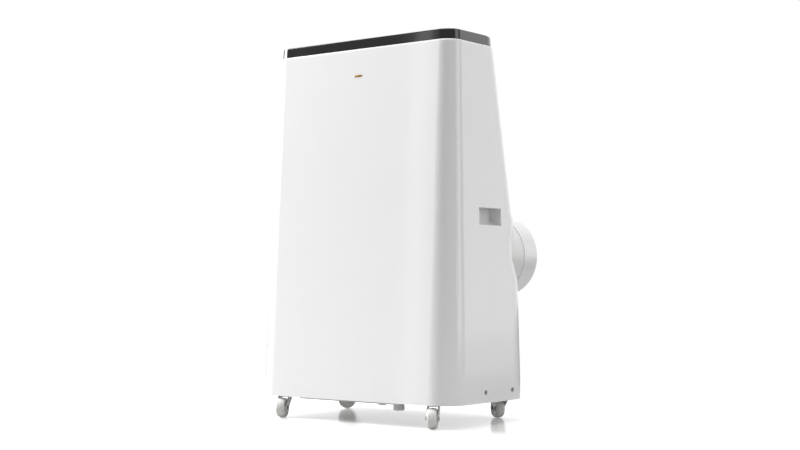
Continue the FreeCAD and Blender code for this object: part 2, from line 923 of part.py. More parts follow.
def build_top_cover():
    """The dark top cover: band, deck, panel recess and outlet opening."""
    low, top = size("shoulder_z"), size("overall_height")
    wall = size("cover_wall")
    sections = []
    for z, inset in ((low, size("band_inset_low")), (top, size("band_inset_top"))):
        section = doc.addObject("Sketcher::SketchObject", "BandSection")
        place(section, ZERO, ZERO, z)
        outline(
            section,
            half_width(low) - inset,
            front_at(low) + inset,
            deep("rear_top") - inset,
            size("front_corner_top") - inset,
            size("rear_corner") - inset,
        )
        sections.append(section)
    loft = doc.addObject("Part::Loft", "BandLoft")
    loft.Sections = sections
    loft.Solid = True
    loft.Ruled = True
    rounded = edge_fillet(loft, size("band_round"), flat_at(top.value), "BandRounded")
    hollow = shoulder_prism(size("band_inset_top") + wall, (low - wall, top - wall), "BandHollow")
    fascia_hole = plate(
        size("fascia_half") + GAP, deep("fascia_front") - GAP, deep("fascia_back") + GAP,
        (top - size("fascia_t"), top + wall), size("fascia_round") + GAP,
    )
    outlet = plate(
        size("outlet_half"), deep("outlet_front"), deep("outlet_back"),
        (low, top + wall), size("flap_round"),
    )
    holes = [
        rod(x, deep("button_depth"), low, size("button_hole_r"), top - low, "Z")
        for x in button_positions().values()
    ]
    board_top = top - wall - size("board_below")
    posts = [
        rod(x, deep(d), board_top, size("post_r"), size("board_below") + wall / 5, "Z")
        for x in (-size("board_half") + WALL * 2, size("board_half") - WALL * 2)
        for d in ("display_front", "display_back")
    ]
    deck = cut(rounded, [hollow, fascia_hole, outlet] + holes)
    keep("top_cover", fuse([deck] + posts))


def button_positions():
    """Names and X positions of the six push-buttons."""
    first, pitch = size("button_first_x"), size("button_pitch")
    return {
        "button_timer": -(first + pitch * 2),
        "button_speed": -(first + pitch),
        "button_mode": -first,
        "button_down": first,
        "button_up": first + pitch,
        "button_power": first + pitch * 2,
    }


def build_controls():
    """Fascia, display window, push-buttons and the board under them."""
    top, wall = size("overall_height"), size("cover_wall")
    fascia = plate(
        size("fascia_half"), deep("fascia_front"), deep("fascia_back"),
        (top - size("fascia_t"), top), size("fascia_round"),
    )
    window_hole = box(
        (-size("display_half") - GAP, size("display_half") + GAP),
        (deep("display_front") - GAP, deep("display_back") + GAP), (top - wall, top + wall),
    )
    holes = [
        rod(x, deep("button_depth"), top - wall, size("button_hole_r"), wall * 2, "Z")
        for x in button_positions().values()
    ]
    keep("control_fascia", cut(fascia, [window_hole] + holes))
    keep(
        "display_window",
        box(
            (-size("display_half"), size("display_half")),
            (deep("display_front"), deep("display_back")), (top - size("fascia_t"), top),
        ),
    )
    rise, drop = size("button_rise"), size("button_drop")
    flange = size("button_flange_r")
    cap, stem = size("button_r"), size("button_stem_r")
    below = wall + GAP
    stem_end = wall + size("board_below") - rise - GAP
    for label, x in button_positions().items():
        keep(
            label,
            turned(
                [
                    (ZERO, -stem_end),
                    (stem, -stem_end),
                    (stem, -(below + drop / 2)),
                    (flange, -(below + drop / 2)),
                    (flange, -below),
                    (cap, -below),
                    (cap, rise / 2),
                    (cap - rise, rise),
                    (ZERO, rise),
                ],
                x, deep("button_depth"), top,
            ),
        )
    board_z = top - wall - size("board_below")
    half = size("board_half")
    board = box((-half, half), (deep("board_front"), deep("board_back")),
                (board_z - size("board_t"), board_z))
    keep("control_board", board)


def build_flap():
    """The outlet flap with its hinge ears and pins, and the motor beside it."""
    top = size("overall_height")
    half = size("flap_half")
    y, z = deep("hinge_depth"), size("hinge_z")
    ear, ear_r = size("hinge_ear"), size("hinge_ear_r")
    lid = plate(half, deep("flap_front"), deep("flap_back"), (top - size("flap_t"), top),
                size("flap_round"))
    pin, bearing = size("hinge_pin_r"), size("bearing_t")
    pieces = [lid]
    for sign in (-1, 1):
        inner = half - ear
        start = inner if sign > 0 else -half
        pieces.append(rod(start, y, z, ear_r, ear, "X"))
        pieces.append(box((start, start + ear), (y - ear_r, y + ear_r), (z, top - pin / 2)))
        length = ear + bearing if sign < 0 else ear + bearing + size("motor_shaft")
        pin_start = inner if sign > 0 else -(inner + length)
        pieces.append(rod(pin_start, y, z, pin, length, "X"))
    keep("outlet_flap", fuse(pieces))
    start = size("duct_top_half") + bearing + GAP
    can = box(
        (start, start + size("motor_t")), (deep("motor_front"), deep("motor_back")),
        (size("motor_low_z"), top - size("cover_wall") - GAP),
    )
    bore = rod(start - bearing, y, z, pin + size("axle_fit"), size("motor_shaft") + bearing, "X")
    keep("flap_motor", cut(can, [bore]))


def build_outlet_duct():
    """The duct from the blower's mouth to the outlet, its bearings and its guard."""
    top = size("overall_height") - size("cover_wall")
    wall = size("duct_wall")
    lofts = []
    for grow in (ZERO, wall):
        sections = []
        low = (
            size("duct_low_left") - grow, size("duct_low_right") + grow,
            deep("duct_low_front") - grow, deep("duct_low_back") + grow, size("duct_low_z"),
        )
        half = size("duct_top_half") - wall + grow
        high = (
            -half, half,
            deep("duct_top_front") - grow, deep("duct_top_back") - wall + grow,
            size("guard_z") - wall * 2,
        )
        rim = high[:4] + (top,)
        for x0, x1, y0, y1, z in (low, high, rim):
            section = doc.addObject("Sketcher::SketchObject", "DuctSection")
            place(section, ZERO, ZERO, z)
            polygon(section, [(x0, y0), (x1, y0), (x1, y1), (x0, y1)])
            sections.append(section)
        loft = doc.addObject("Part::Loft", "DuctLoft")
        loft.Sections = sections
        loft.Solid = True
        loft.Ruled = True
        lofts.append(loft)
    inner, outer = lofts
    y, z = deep("hinge_depth"), size("hinge_z")
    half, bearing = size("duct_top_half"), size("bearing_t")
    blocks, bores = [], []
    for sign in (-1, 1):
        x = (half - wall / 2, half + bearing) if sign > 0 else (-(half + bearing), wall / 2 - half)
        blocks.append(box(x, (y - bearing, y + bearing), (z - bearing, top)))
        start = (half - bearing) if sign > 0 else -(half + bearing * 2)
        bore_r = size("hinge_pin_r") + size("axle_fit")
        bores.append(rod(start, y, z, bore_r, bearing * 3, "X"))
    duct = cut(fuse([outer] + blocks), [inner] + bores)
    keep("outlet_duct", duct)

    inside = half - wall - GAP
    low_z, high_z = size("guard_z"), size("guard_z") + size("guard_bar_height")
    front, back = deep("duct_top_front") + GAP, deep("duct_top_back") - wall - GAP
    bar, pitch = size("guard_bar"), size("guard_pitch")
    frame = cut(
        box((-inside, inside), (front, back), (low_z, high_z)),
        [box((bar - inside, inside - bar), (front + bar, back - bar), (low_z - bar, high_z + bar))],
    )
    bars = [frame]
    count = int(inside.value / pitch.value)
    for i in range(-count, count + 1):
        x = pitch * i
        bars.append(box((x - bar / 2, x + bar / 2), (front, back), (low_z, high_z)))
    keep("outlet_guard", fuse(bars))


# ---------------------------------------------------------------- rear grilles


def build_grilles():
    """The two louvred intake grilles and the filters clipped behind them."""
    border, thick = size("grille_border"), size("grille_t")
    pitch, slat = size("slat_pitch"), size("slat_t")
    filter_t, edge = size("filter_t"), size("filter_border")
    sheet_t, rib = size("filter_sheet"), size("filter_rib")
    for name, half_name, low_name, high_name in (
        ("upper", "upper_grille_half", "upper_grille_low", "upper_grille_high"),
        ("lower", "lower_grille_half", "lower_grille_low", "lower_grille_high"),
    ):
        half = size(half_name) - GAP
        low, high = size(low_name) + GAP, size(high_name) - GAP

        def block(x, out, along, sloped=(name == "upper")):
            if sloped:
                return slope_box(x, out, along)
            face = deep("rear_low")
            return box(x, (face + out[0], face + out[1]), along)

        frame = cut(
            block((-half, half), (-thick, ZERO), (low, high)),
            [
                block(
                    (border - half, half - border), (-thick * 2, thick),
                    (low + border, high - border),
                )
            ],
        )
        pieces = [frame]
        span = (high - low - border * 2).value
        count = int(span / pitch.value)
        for i in range(1, count + 1):
            start = low + border + pitch * i - pitch / 2
            pieces.append(block((-half + border / 2, half - border / 2), (-thick, -slat / 4),
                                (start, start + slat)))
        for x in (-half / 3, half / 3):
            pieces.append(block((x - slat / 2, x + slat / 2), (-thick, -slat / 2), (low, high)))
        keep("%s_grille" % name, fuse(pieces))

        inner = -(thick + GAP)
        size_x = (-half + edge / 2, half - edge / 2)
        size_z = (low + edge / 2, high - edge / 2)
        rim = cut(
            block(size_x, (inner - filter_t, inner), size_z),
            [
                block(
                    (size_x[0] + edge, size_x[1] - edge), (inner - filter_t * 2, thick),
                    (size_z[0] + edge, size_z[1] - edge),
                )
            ],
        )
        sheet_out = (inner - filter_t / 2 - sheet_t / 2, inner - filter_t / 2 + sheet_t / 2)
        web = block(
            (size_x[0] + edge / 2, size_x[1] - edge / 2), sheet_out,
            (size_z[0] + edge / 2, size_z[1] - edge / 2),
        )
        ribs = [
            block((x - rib / 2, x + rib / 2), (inner - filter_t, inner), size_z)
            for x in (-half / 2, ZERO, half / 2)
        ]
        middle = (low + high) / 2
        ribs.append(block(size_x, (inner - filter_t, inner), (middle - rib / 2, middle + rib / 2)))
        keep("%s_filter" % name, fuse([rim, web] + ribs))


def build_exhaust():
    """The round hose connector that pushes into the rear panel's collar."""
    r, wall = size("exhaust_r"), size("exhaust_wall")
    spigot_r = r - wall - size("spigot_gap")
    length = size("exhaust_back") - size("exhaust_seat")
    round_r = size("rim_round")
    keep(
        "exhaust_connector",
        turned(
            [
                (spigot_r - wall, -size("spigot_length")),
                (spigot_r, -size("spigot_length")),
                (spigot_r, ZERO),
                (r, ZERO),
                (r, length - round_r),
                (r - round_r, length),
                (spigot_r - wall + round_r / 2, length),
                (spigot_r - wall, length - round_r),
            ],
            size("exhaust_x"), deep("exhaust_seat"), size("exhaust_z"), AXES["Y"],
        ),
    )


# ---------------------------------------------------------------- base and casters


def build_base_pan():
    """The moulded base pan with its sump, caster sockets, lugs and feet."""
    skirt, floor, wall = size("skirt_z"), size("pan_floor"), size("pan_wall")
    inset = WALL + GAP
    hull = casing_loft(inset, skirt - WALL, size("shoulder_z") - inset, "PanHull")
    inner = casing_loft(inset + wall, skirt - WALL, size("shoulder_z") - inset, "PanInner")
    far = size("body_width")
    across, along = (-far, far), (deep(-far), deep(far))
    slab = common([hull, box(across, along, (skirt, size("pan_rim_z")))])
    hollow = common([inner, box(across, along, (skirt + floor, size("pan_rim_z") + wall))])
    tray = cut(slab, [hollow])
    sump_x = (size("sump_left"), size("sump_right"))
    sump_y = (deep("sump_front"), deep("sump_back"))
    drop = size("sump_drop")
    sump = box(sump_x, sump_y, (skirt - drop, skirt + floor / 2))
    sump_hollow = box(
        (sump_x[0] + wall, sump_x[1] - wall), (sump_y[0] + wall, sump_y[1] - wall),
        (skirt - drop + floor, skirt + floor * 2),
    )
    drain_r = size("drain_plug_r") + size("drain_plug_fit")
    drain_well = rod(size("drain_x"), deep("drain_depth"), skirt - drop, drain_r + wall,
                     floor + drop)
    drain_hole = rod(size("drain_x"), deep("drain_depth"), skirt - drop * 3, drain_r, far / 10)
    dome = turned(
        [
            (ZERO, -size("dome_drop")),
            (size("dome_top_r"), -size("dome_drop")),
            (size("dome_r"), floor / 2),
            (ZERO, floor / 2),
        ],
        size("dome_x"), deep("dome_depth"), skirt - drop,
    )
    sockets, stems = [], []
    bore = size("stem_r") + size("stem_fit")
    for sign, end, _ in CORNERS.values():
        x, y = size("stem_x") * sign, deep(end)
        sockets.append(rod(x, y, skirt, size("socket_r"), size("socket_top_z") - skirt))
        stems.append(rod(x, y, skirt - wall, bore, far / 10))
    screw_r = size("screw_shank_r") + size("screw_fit")
    lugs, lug_holes = [], []
    reach = half_width(size("skirt_screw_z")) - size("skirt_boss") - WALL / 2 - GAP
    lug_z = (skirt + floor / 2, size("skirt_screw_z") + size("screw_boss_r"))
    half_lug = size("screw_boss_r")
    notches = []
    for sign in (-1, 1):
        for depth in ("skirt_screw_front", "skirt_screw_back"):
            y = deep(depth)
            lug_x = (reach - far / 40, reach) if sign > 0 else (-reach, far / 40 - reach)
            lugs.append(box(lug_x, (y - half_lug, y + half_lug), lug_z))
            notch_x = (reach, far / 2) if sign > 0 else (-far / 2, -reach)
            clear = half_lug + GAP
            notches.append(
                box(notch_x, (y - clear, y + clear),
                    (size("skirt_screw_z") - clear, size("pan_rim_z") + wall))
            )
            start = reach - far / 20 if sign > 0 else -far / 2
            lug_holes.append(rod(start, y, size("skirt_screw_z"), screw_r, far / 2 - reach + far / 20, "X"))
    for x in rear_screw_positions():
        z = size("rear_screw_z")
        start = deep("rear_low") - size("screw_length") - wall
        lug_holes.append(rod(x, start, z, screw_r, far / 10, "Y"))
        lugs.append(
            box((x - half_lug, x + half_lug),
                (start + wall, deep("rear_low") - inset - wall / 2),
                (skirt + floor / 2, z + half_lug / 2))
        )
    body = cut(fuse([tray, sump]), [sump_hollow] + notches)
    whole = fuse([body, drain_well, dome] + sockets + lugs)
    keep("base_pan", cut(whole, [drain_hole] + stems + lug_holes))


def build_drain_plug():
    """The push-in plug under the sump."""
    drop, plug = size("drain_drop"), size("drain_plug_r")
    r = size("drain_r")
    keep(
        "drain_plug",
        turned(
            [
                (ZERO, -drop),
                (r - size("rim_round"), -drop),
                (r, size("rim_round") - drop),
                (r, ZERO),
                (plug, ZERO),
                (plug, size("pan_floor") + size("sump_drop") / 2),
                (ZERO, size("pan_floor") + size("sump_drop") / 2),
            ],
            size("drain_x"), deep("drain_depth"), size("skirt_z") - size("sump_drop"),
        ),
    )


def build_casters():
    """A swivel fork, an axle and a wheel at each corner."""
    r, half = size("wheel_r"), size("wheel_half")
    trail = size("trail")
    bore = size("axle_r") + size("axle_fit")
    side = half + size("fork_side_gap")
    thick = size("fork_t")
    crown_z = (size("fork_crown_low_z"), size("fork_crown_top_z"))
    eye = size("fork_eye_r")
    neck = size("fork_neck")
    for corner, (sign, end, swivel_name) in CORNERS.items():
        swivel = size(swivel_name)
        turn = Rotation(Vector(0, 0, 1), swivel.value)
        x, y = size("stem_x") * sign, deep(end)
        arms = []
        for hand in (-1, 1):
            arm = padded(
                [
                    (size("fork_back"), crown_z[1]),
                    (size("fork_back"), crown_z[0] - neck),
                    (-trail + eye, r - neck / 2),
                    (-trail + eye / 2, r - eye),
                    (-trail - eye / 2, r - eye),
                    (-trail - eye, r - neck / 2),
                    (-trail - eye, r + neck),
                    (-size("fork_front"), crown_z[1]),
                ],
                "YZ_Plane", thick, (side + thick / 2) * hand, ZERO, ZERO, name="ForkArm",
            )
            arms.append(arm)
        crown = box((-side - thick, side + thick), (-size("fork_front"), size("fork_back")), crown_z)
        stem = rod(ZERO, ZERO, crown_z[0], size("stem_r"), size("stem_top_z") - crown_z[0])
        hole = rod(-side * 2, -trail, r, bore, side * 4, "X")
        fork = cut(fuse(arms + [crown, stem]), [hole])
        place(fork, x, y, ZERO, turn)
        bind(fork, "Placement.Rotation.Angle", swivel)
        fork.Placement = Placement(fork.Placement.Base, turn)
        keep("caster_fork_%s" % corner, fork)

        wheel_x = x + sine(swivel) * trail
        wheel_y = y - cosine(swivel) * trail
        along = turn.multiply(AXES["X"])
        shoulder, dish = size("wheel_shoulder"), size("wheel_dish")
        low = -half
        crown_drop = size("wheel_crown")
        wheel = turned(
            [
                (bore, low),
                (size("wheel_hub_r"), low),
                (size("wheel_hub_r"), low + dish),
                (size("wheel_rim_r"), low + dish),
                (size("wheel_rim_r"), low),
                (r - crown_drop * 2, low),
                (r - crown_drop, low + crown_drop),
                (r, low + shoulder),
                (r, half - shoulder),
                (r - crown_drop, half - crown_drop),
                (r - crown_drop * 2, half),
                (size("wheel_rim_r"), half),
                (size("wheel_rim_r"), half - dish),
                (size("wheel_hub_r"), half - dish),
                (size("wheel_hub_r"), half),
                (bore, half),
            ],
            wheel_x, wheel_y, r, along,
        )
        keep("caster_wheel_%s" % corner, wheel)
        reach, head = side + thick, size("axle_head_t")
        axle = turned(
            [
                (ZERO, -reach - head),
                (size("axle_head_r"), -reach - head),
                (size("axle_head_r"), -reach),
                (size("axle_r"), -reach),
                (size("axle_r"), reach),
                (size("axle_head_r"), reach),
                (size("axle_head_r"), reach + head),
                (ZERO, reach + head),
            ],
            wheel_x, wheel_y, r, along,
        )
        keep("caster_axle_%s" % corner, axle)


# ---------------------------------------------------------------- inside, upper


def suction_riser():
    """X and Y where the suction pipe rises through the tray."""
    y = deep("evaporator_front") + size("coil_t") / 4
    return -size("coil_half") - size("pipe_r") * 5, y


def liquid_riser():
    """X and Y where the liquid pipe rises through the tray."""
    y = deep("evaporator_front") + size("coil_t") * 3 / 4
    return -size("coil_half") - size("pipe_r") * 3, y


def build_tray_and_frames():
    """The drip tray between the sections and the two frames that carry it."""
    inset = WALL + GAP
    low, thick, rim = size("tray_z"), size("tray_t"), size("tray_rim")
    hull = casing_loft(inset, size("skirt_z"), size("shoulder_z") - inset, "TrayHull")
    inner = casing_loft(inset + thick, size("skirt_z"), size("shoulder_z") - inset, "TrayInner")
    far = size("body_width")
    across, along = (-far, far), (deep(-far), deep("tray_back"))
    slab = common([hull, box(across, along, (low, low + rim))])
    hollow = common(
        [inner, box(across, (deep(-far), deep("tray_back") - thick), (low + thick, low + rim * 2))]
    )
    passages = [
        rod(px, py, low - thick, radius + GAP, rim * 2)
        for (px, py), radius in (
            (suction_riser(), size("pipe_r")),
            (liquid_riser(), size("liquid_pipe_r")),
        )
    ]
    keep("drip_tray", cut(slab, [hollow] + passages))
    x, t, foot = size("frame_x"), size("frame_t"), size("frame_foot")
    floor = size("skirt_z") + size("pan_floor")
    y = (deep("frame_front"), deep("frame_back"))
    frames = []
    for sign in (-1, 1):
        web_x = (x, x + t) if sign > 0 else (-x - t, -x)
        flange_x = (x - foot, x + t) if sign > 0 else (-x - t, foot - x)
        web = box(web_x, y, (floor, low))
        feet = [
            box(flange_x, y, (floor, floor + t)),
            box(flange_x, y, (low - t, low)),
        ]
        window = box(
            (-x - foot, x + foot), (y[0] + foot, y[1] - foot),
            (floor + foot * 3, size("handle_low_z") - foot * 3),
        )
        frames.append(cut(fuse([web] + feet), [window]))
    group("side_frames", frames)


def scroll(x, z, radius, front, back, mouth, mouth_z, eye_r, name):
    """A flat spiral housing: a drum with a throat that rises to its mouth."""
    wall = size("scroll_wall")
    left, right = mouth
    drum = rod(x, front, z, radius, back - front, "Y")
    throat = box((left, right), (front, back), (z, mouth_z))
    inner_drum = rod(x, front + wall, z, radius - wall, back - front - wall * 2, "Y")
    inner_throat = box((left + wall, right - wall), (front + wall, back - wall),
                       (z, mouth_z + wall))
    eye = rod(x, back - wall * 2, z, eye_r, wall * 4, "Y")
    shaft_hole = rod(x, front - wall, z, size("hub_r") + wall, wall * 3, "Y")
    return cut(fuse([drum, throat]), [inner_drum, inner_throat, eye, shaft_hole], name)


def drum_wheel(x, z, radius, front, back, shaft_length):
    """A drum impeller moulded on its shaft: back plate, hub, ring and upright blades."""
    thin = size("wheel_plate")
    rim = size("blade_reach")
    disc = rod(x, front, z, radius, thin, "Y")
    hub = rod(x, front, z, size("hub_r"), thin * 6, "Y")
    shaft = rod(x, front - shaft_length, z, size("shaft_r"), shaft_length + thin, "Y")
    ring = tube(x, back - thin, z, radius, radius - rim, thin, "Y")
    pieces = [disc, hub, shaft, ring]
    count = SIZES["blade_count"]
    for i in range(count):
        blade = doc.addObject("Part::Box", "Blade")
        angle = 360.0 * i / count
        bind(blade, "Length", rim - thin)
        bind(blade, "Width", back - front)
        bind(blade, "Height", size("blade_t"))
        spoke = Dim("%r" % angle, angle)
        start = radius - rim + thin / 2
        place(blade, as_dim(x) + cosine(spoke) * start, front,
              as_dim(z) + sine(spoke) * start, Rotation(Vector(0, 1, 0), -angle))
        pieces.append(blade)
    return fuse(pieces)


def build_blower():
    """The upper scroll, its wheel, shaft and motor."""
    x, z = size("blower_x"), size("blower_z")
    front, back = deep("blower_front"), deep("blower_back")
    clear = size("wheel_clear")
    mouth = (size("duct_low_left"), x + size("blower_scroll_r"))
    housing = scroll(x, z, size("blower_scroll_r"), front, back, mouth,
                     size("duct_low_z") - GAP, size("blower_eye_r"), "BlowerScroll")
    foot = box((x - size("hub_r") * 3, x + size("hub_r") * 3), (front, back),
               (size("tray_z") + size("tray_t"), z - size("blower_scroll_r") + size("duct_wall") / 2))
    keep("blower_scroll", fuse([housing, foot]))
    length = size("blower_motor_length")
    keep(
        "blower_wheel",
        drum_wheel(x, z, size("blower_wheel_r"), front + clear, back - clear, length),
    )
    build_motor("blower", x, z, front, size("blower_motor_r"), length)


def build_motor(name, x, z, face, radius, length):
    """A flanged motor in front of a scroll, bored for the wheel's shaft."""
    bore = size("shaft_r") + size("shaft_fit")
    thin = size("wheel_plate")
    can = rod(x, face - length, z, radius, length - thin, "Y")
    flange = rod(x, face - thin * 2, z, radius + thin * 2, thin * 2, "Y")
    nose = rod(x, face - length - thin, z, size("hub_r"), thin * 2, "Y")
    bore_rod = rod(x, face - length + thin, z, bore, length * 2, "Y")
    keep("%s_motor" % name, cut(fuse([can, flange, nose]), [bore_rod]))


def coil(label, x, front, z, thick):
    """A finned block between end plates, with its tubes showing at both ends."""
    plate_t, over = size("end_plate"), size("tube_over")
    tube_r, pitch = size("tube_r"), size("tube_pitch")
    fins = box((x[0] + over, x[1] - over), (front, front + thick), z)
    plates = [
        box((x[0] + over - plate_t, x[0] + over), (front - plate_t, front + thick + plate_t), z),
        box((x[1] - over, x[1] - over + plate_t), (front - plate_t, front + thick + plate_t), z),
    ]
    tubes = []
    count = int((z[1].value - z[0].value) / pitch.value)
    for i in range(count):
        level = z[0] + pitch * i + pitch / 2
        for share in (1, 3):
            y = front + thick * share / 4
            tubes.append(rod(x[0], y, level, tube_r, x[1] - x[0], "X"))
    return keep(label, fuse([fins] + plates + tubes))


def evaporator_low():
    """Height of the tray's floor, where the evaporator stands."""
    return size("tray_z") + size("tray_t")


def build_coils():
    """The evaporator above the tray and the condenser in the pan."""
    half = size("coil_half")
    coil(
        "evaporator_coil", (-half, half), deep("evaporator_front"),
        (evaporator_low(), evaporator_low() + size("evaporator_height")), size("coil_t"),
    )
    coil(
        "condenser_coil", (size("condenser_left"), size("condenser_right")),
        deep("condenser_front"), (size("condenser_low_z"), size("condenser_high_z")),
        size("coil_t"),
    )


def build_electrics():
    """The electrics box on the tray, its board and the run capacitor."""
    low, wall = size("tray_z") + size("tray_t"), size("box_wall")
    x = (size("box_left"), size("box_right"))
    y = (deep("box_front"), deep("box_back"))
    z = (low, size("box_high_z"))
    shell = cut(
        box(x, y, z),
        [box((x[0] + wall, x[1] - wall), (y[0] + wall, y[1] + wall), (z[0] + wall, z[1] - wall))],
    )
    keep("electrics_box", shell)
    board_x = x[0] + wall * 3
    board = box((board_x, board_x + size("main_board_t")), (y[0] + wall * 2, y[1] - wall * 2),
                (z[0] + wall * 3, z[1] - wall * 3))
    spacers = [
        box((x[0] + wall, board_x), (y[0] + wall * 4, y[0] + wall * 7), (foot, foot + wall * 3))
        for foot in (z[0] + size("terminal_low"), z[0] + size("terminal_high"))
    ]
    relay_feet = [z[0] + size("relay_first") + size("relay_pitch") * i for i in range(3)]
    relays = [
        box((board_x + size("main_board_t"), board_x + wall * 8),
            (y[0] + wall * 6, y[0] + wall * 16), (foot, foot + size("relay_height")))
        for foot in relay_feet
    ]
    keep("main_board", fuse([board] + spacers + relays))
    cap_r = size("capacitor_r")
    keep(
        "capacitor",
        turned(
            [
                (ZERO, ZERO),
                (cap_r, ZERO),
                (cap_r, size("capacitor_length") - wall),
                (cap_r - wall, size("capacitor_length")),
                (ZERO, size("capacitor_length")),
            ],
            x[1] - wall - cap_r, y[1] - cap_r - wall * 2, z[0] + wall,
        ),
    )


# ---------------------------------------------------------------- inside, lower


def build_fan():
    """The lower scroll, its wheel, shaft and motor, and the exhaust plenum."""
    x, z = size("fan_x"), size("fan_z")
    front, back = deep("fan_front"), deep("fan_back")
    clear = size("wheel_clear")
    mouth = (x, x + size("fan_scroll_r"))
    housing = scroll(x, z, size("fan_scroll_r"), front, back, mouth,
                     size("fan_mouth_z"), size("fan_eye_r"), "FanScroll")
    floor = size("skirt_z") + size("pan_floor")
    foot = box((x + size("hub_r") * 3, x + size("hub_r") * 8), (deep("sump_back") + GAP, back),
               (floor, z - size("hub_r") * 6))
    drum = rod(x, front, z, size("fan_scroll_r") - size("scroll_wall") / 2, back - front, "Y")
    keep("fan_scroll", fuse([housing, cut(foot, [drum])]))
    length = size("fan_motor_length")
    keep("fan_wheel", drum_wheel(x, z, size("fan_wheel_r"), front + clear, back - clear, length))
    build_motor("fan", x, z, front, size("fan_motor_r"), length)

    wall = size("scroll_wall")
    px = (size("plenum_left"), size("plenum_right"))
    py = (deep("plenum_front"), deep("exhaust_root") - GAP)
    pz = (size("fan_mouth_z") + GAP, size("plenum_top_z"))
    wide_x = (px[0], size("plenum_wide"))
    wide_y = (deep("plenum_step"), py[1])
    inner_y = (py[0] + wall, py[1] - wall)
    inner_z = (pz[0] + wall, pz[1] - wall)
    shell = cut(
        fuse([box(px, py, pz), box(wide_x, wide_y, pz)]),
        [
            box((px[0] + wall, px[1] - wall), inner_y, inner_z),
            box((px[0] + wall, wide_x[1] - wall), (wide_y[0] + wall, inner_y[1]), inner_z),
        ],
    )
    round_hole = rod(size("exhaust_x"), py[1] - wall * 3, size("exhaust_z"),
                     size("exhaust_r") - size("exhaust_wall"), wall * 5, "Y")
    floor_hole = box((px[0] + wall, mouth[1] - wall), (front + wall, back - wall),
                     (pz[0] - wall, pz[0] + wall * 2))
    keep("exhaust_plenum", cut(shell, [round_hole, floor_hole]))


def build_compressor():
    """The compressor on its rubber mounts, with the accumulator and the pipes."""
    x, y, r = size("compressor_x"), deep("compressor_depth"), size("compressor_r")
    foot_z, foot_t = size("compressor_foot_z"), size("compressor_foot_t")
    top, dome = size("compressor_top_z"), size("compressor_dome")
    can = turned(
        [
            (ZERO, foot_z),
            (r - dome / 2, foot_z),
            (r, foot_z + dome / 2),
            (r, top - dome),
            (r - dome / 3, top - dome / 3),
            (r - dome, top),
            (ZERO, top),
        ],
        x, y, ZERO,
    )
    circle = size("mount_circle_r")
    arms, holes, mounts = [], [], []
    mount_r, pin_r = size("mount_r"), size("mount_pin_r")
    floor = size("skirt_z") + size("pan_floor")
    for angle in (30, 150, 270):
        turn = as_dim(angle)
        mx, my = x + cosine(turn) * circle, y + sine(turn) * circle
        arm = doc.addObject("Part::Box", "FootArm")
        bind(arm, "Length", circle)
        bind(arm, "Width", mount_r * 2)
        bind(arm, "Height", foot_t)
        place(arm, x + sine(turn) * mount_r, y - cosine(turn) * mount_r, foot_z,
              Rotation(Vector(0, 0, 1), angle))
        arms.append(arm)
        arms.append(rod(mx, my, foot_z, mount_r, foot_t))
        holes.append(rod(mx, my, foot_z - foot_t, pin_r + GAP, foot_t * 3))
        mounts.append(
            turned(
                [
                    (ZERO, ZERO),
                    (mount_r, ZERO),
                    (mount_r - foot_t / 2, (foot_z - floor) / 2),
                    (mount_r, foot_z - floor),
                    (pin_r, foot_z - floor),
                    (pin_r, foot_z - floor + foot_t + foot_t),
                    (ZERO, foot_z - floor + foot_t + foot_t),
                ],
                mx, my, floor,
            )
        )
    keep("compressor", cut(fuse([can] + arms), holes))
    group("compressor_mounts", mounts)

    ax, ay = size("accumulator_x"), deep("accumulator_depth")
    ar = size("accumulator_r")
    low, high = size("accumulator_low_z"), size("accumulator_high_z")
    bracket = box((x + r - foot_t / 2, ax), (ay - foot_t, ay + foot_t),
                  ((low + high) / 2 - foot_t, (low + high) / 2 + foot_t))
    clear_can = rod(x, y, low, r + size("bracket_fit"), high - low)
    bottle = turned(
        [
            (ZERO, low),
            (ar / 2, low),
            (ar, low + ar / 2),
            (ar, high - ar / 2),
            (ar / 2, high),
            (ZERO, high),
        ],
        ax, ay, ZERO,
    )
    keep("accumulator", fuse([bottle, cut(bracket, [clear_can])]))


def build_pipes():
    """The copper runs: discharge to the condenser, suction from the tray, liquid line."""
    r, thin = size("pipe_r"), size("liquid_pipe_r")
    x, y = size("compressor_x"), deep("compressor_depth")
    top = size("compressor_top_z")
    pitch = size("tube_pitch")
    coil_end = size("condenser_left")
    hot_y = deep("condenser_front") + size("coil_t") / 4
    cool_y = deep("condenser_front") + size("coil_t") * 3 / 4
    hot_z = size("condenser_low_z") + pitch * 13 / 2
    cool_z = size("condenser_low_z") + pitch / 2
    under_tray = size("tray_z") - r * 5
    bottle_x, bottle_y = size("accumulator_x"), deep("accumulator_depth")
    suction_x, suction_y = suction_riser()
    suction_z = evaporator_low() + pitch * 3 / 2
    liquid_x, liquid_y = liquid_riser()
    liquid_z = evaporator_low() + pitch / 2
    runs = [
        (r, [
            (x, y, top),
            (x, y, top + pitch),
            (coil_end - r * 5, hot_y, top + pitch),
            (coil_end - r * 5, hot_y, hot_z),
            (coil_end, hot_y, hot_z),
        ]),
        (r, [
            (bottle_x, bottle_y, size("accumulator_high_z")),
            (bottle_x, bottle_y, under_tray),
            (suction_x, suction_y, under_tray),
            (suction_x, suction_y, suction_z),
            (-size("coil_half"), suction_y, suction_z),
        ]),
        (thin, [
            (coil_end, cool_y, cool_z),
            (coil_end - r * 3, cool_y, cool_z),
            (coil_end - r * 3, cool_y, under_tray - r * 3),
            (liquid_x, liquid_y, under_tray - r * 3),
            (liquid_x, liquid_y, liquid_z),
            (-size("coil_half"), liquid_y, liquid_z),
        ]),
    ]
    group("refrigerant_pipes", [bent_tube(path, radius) for radius, path in runs])


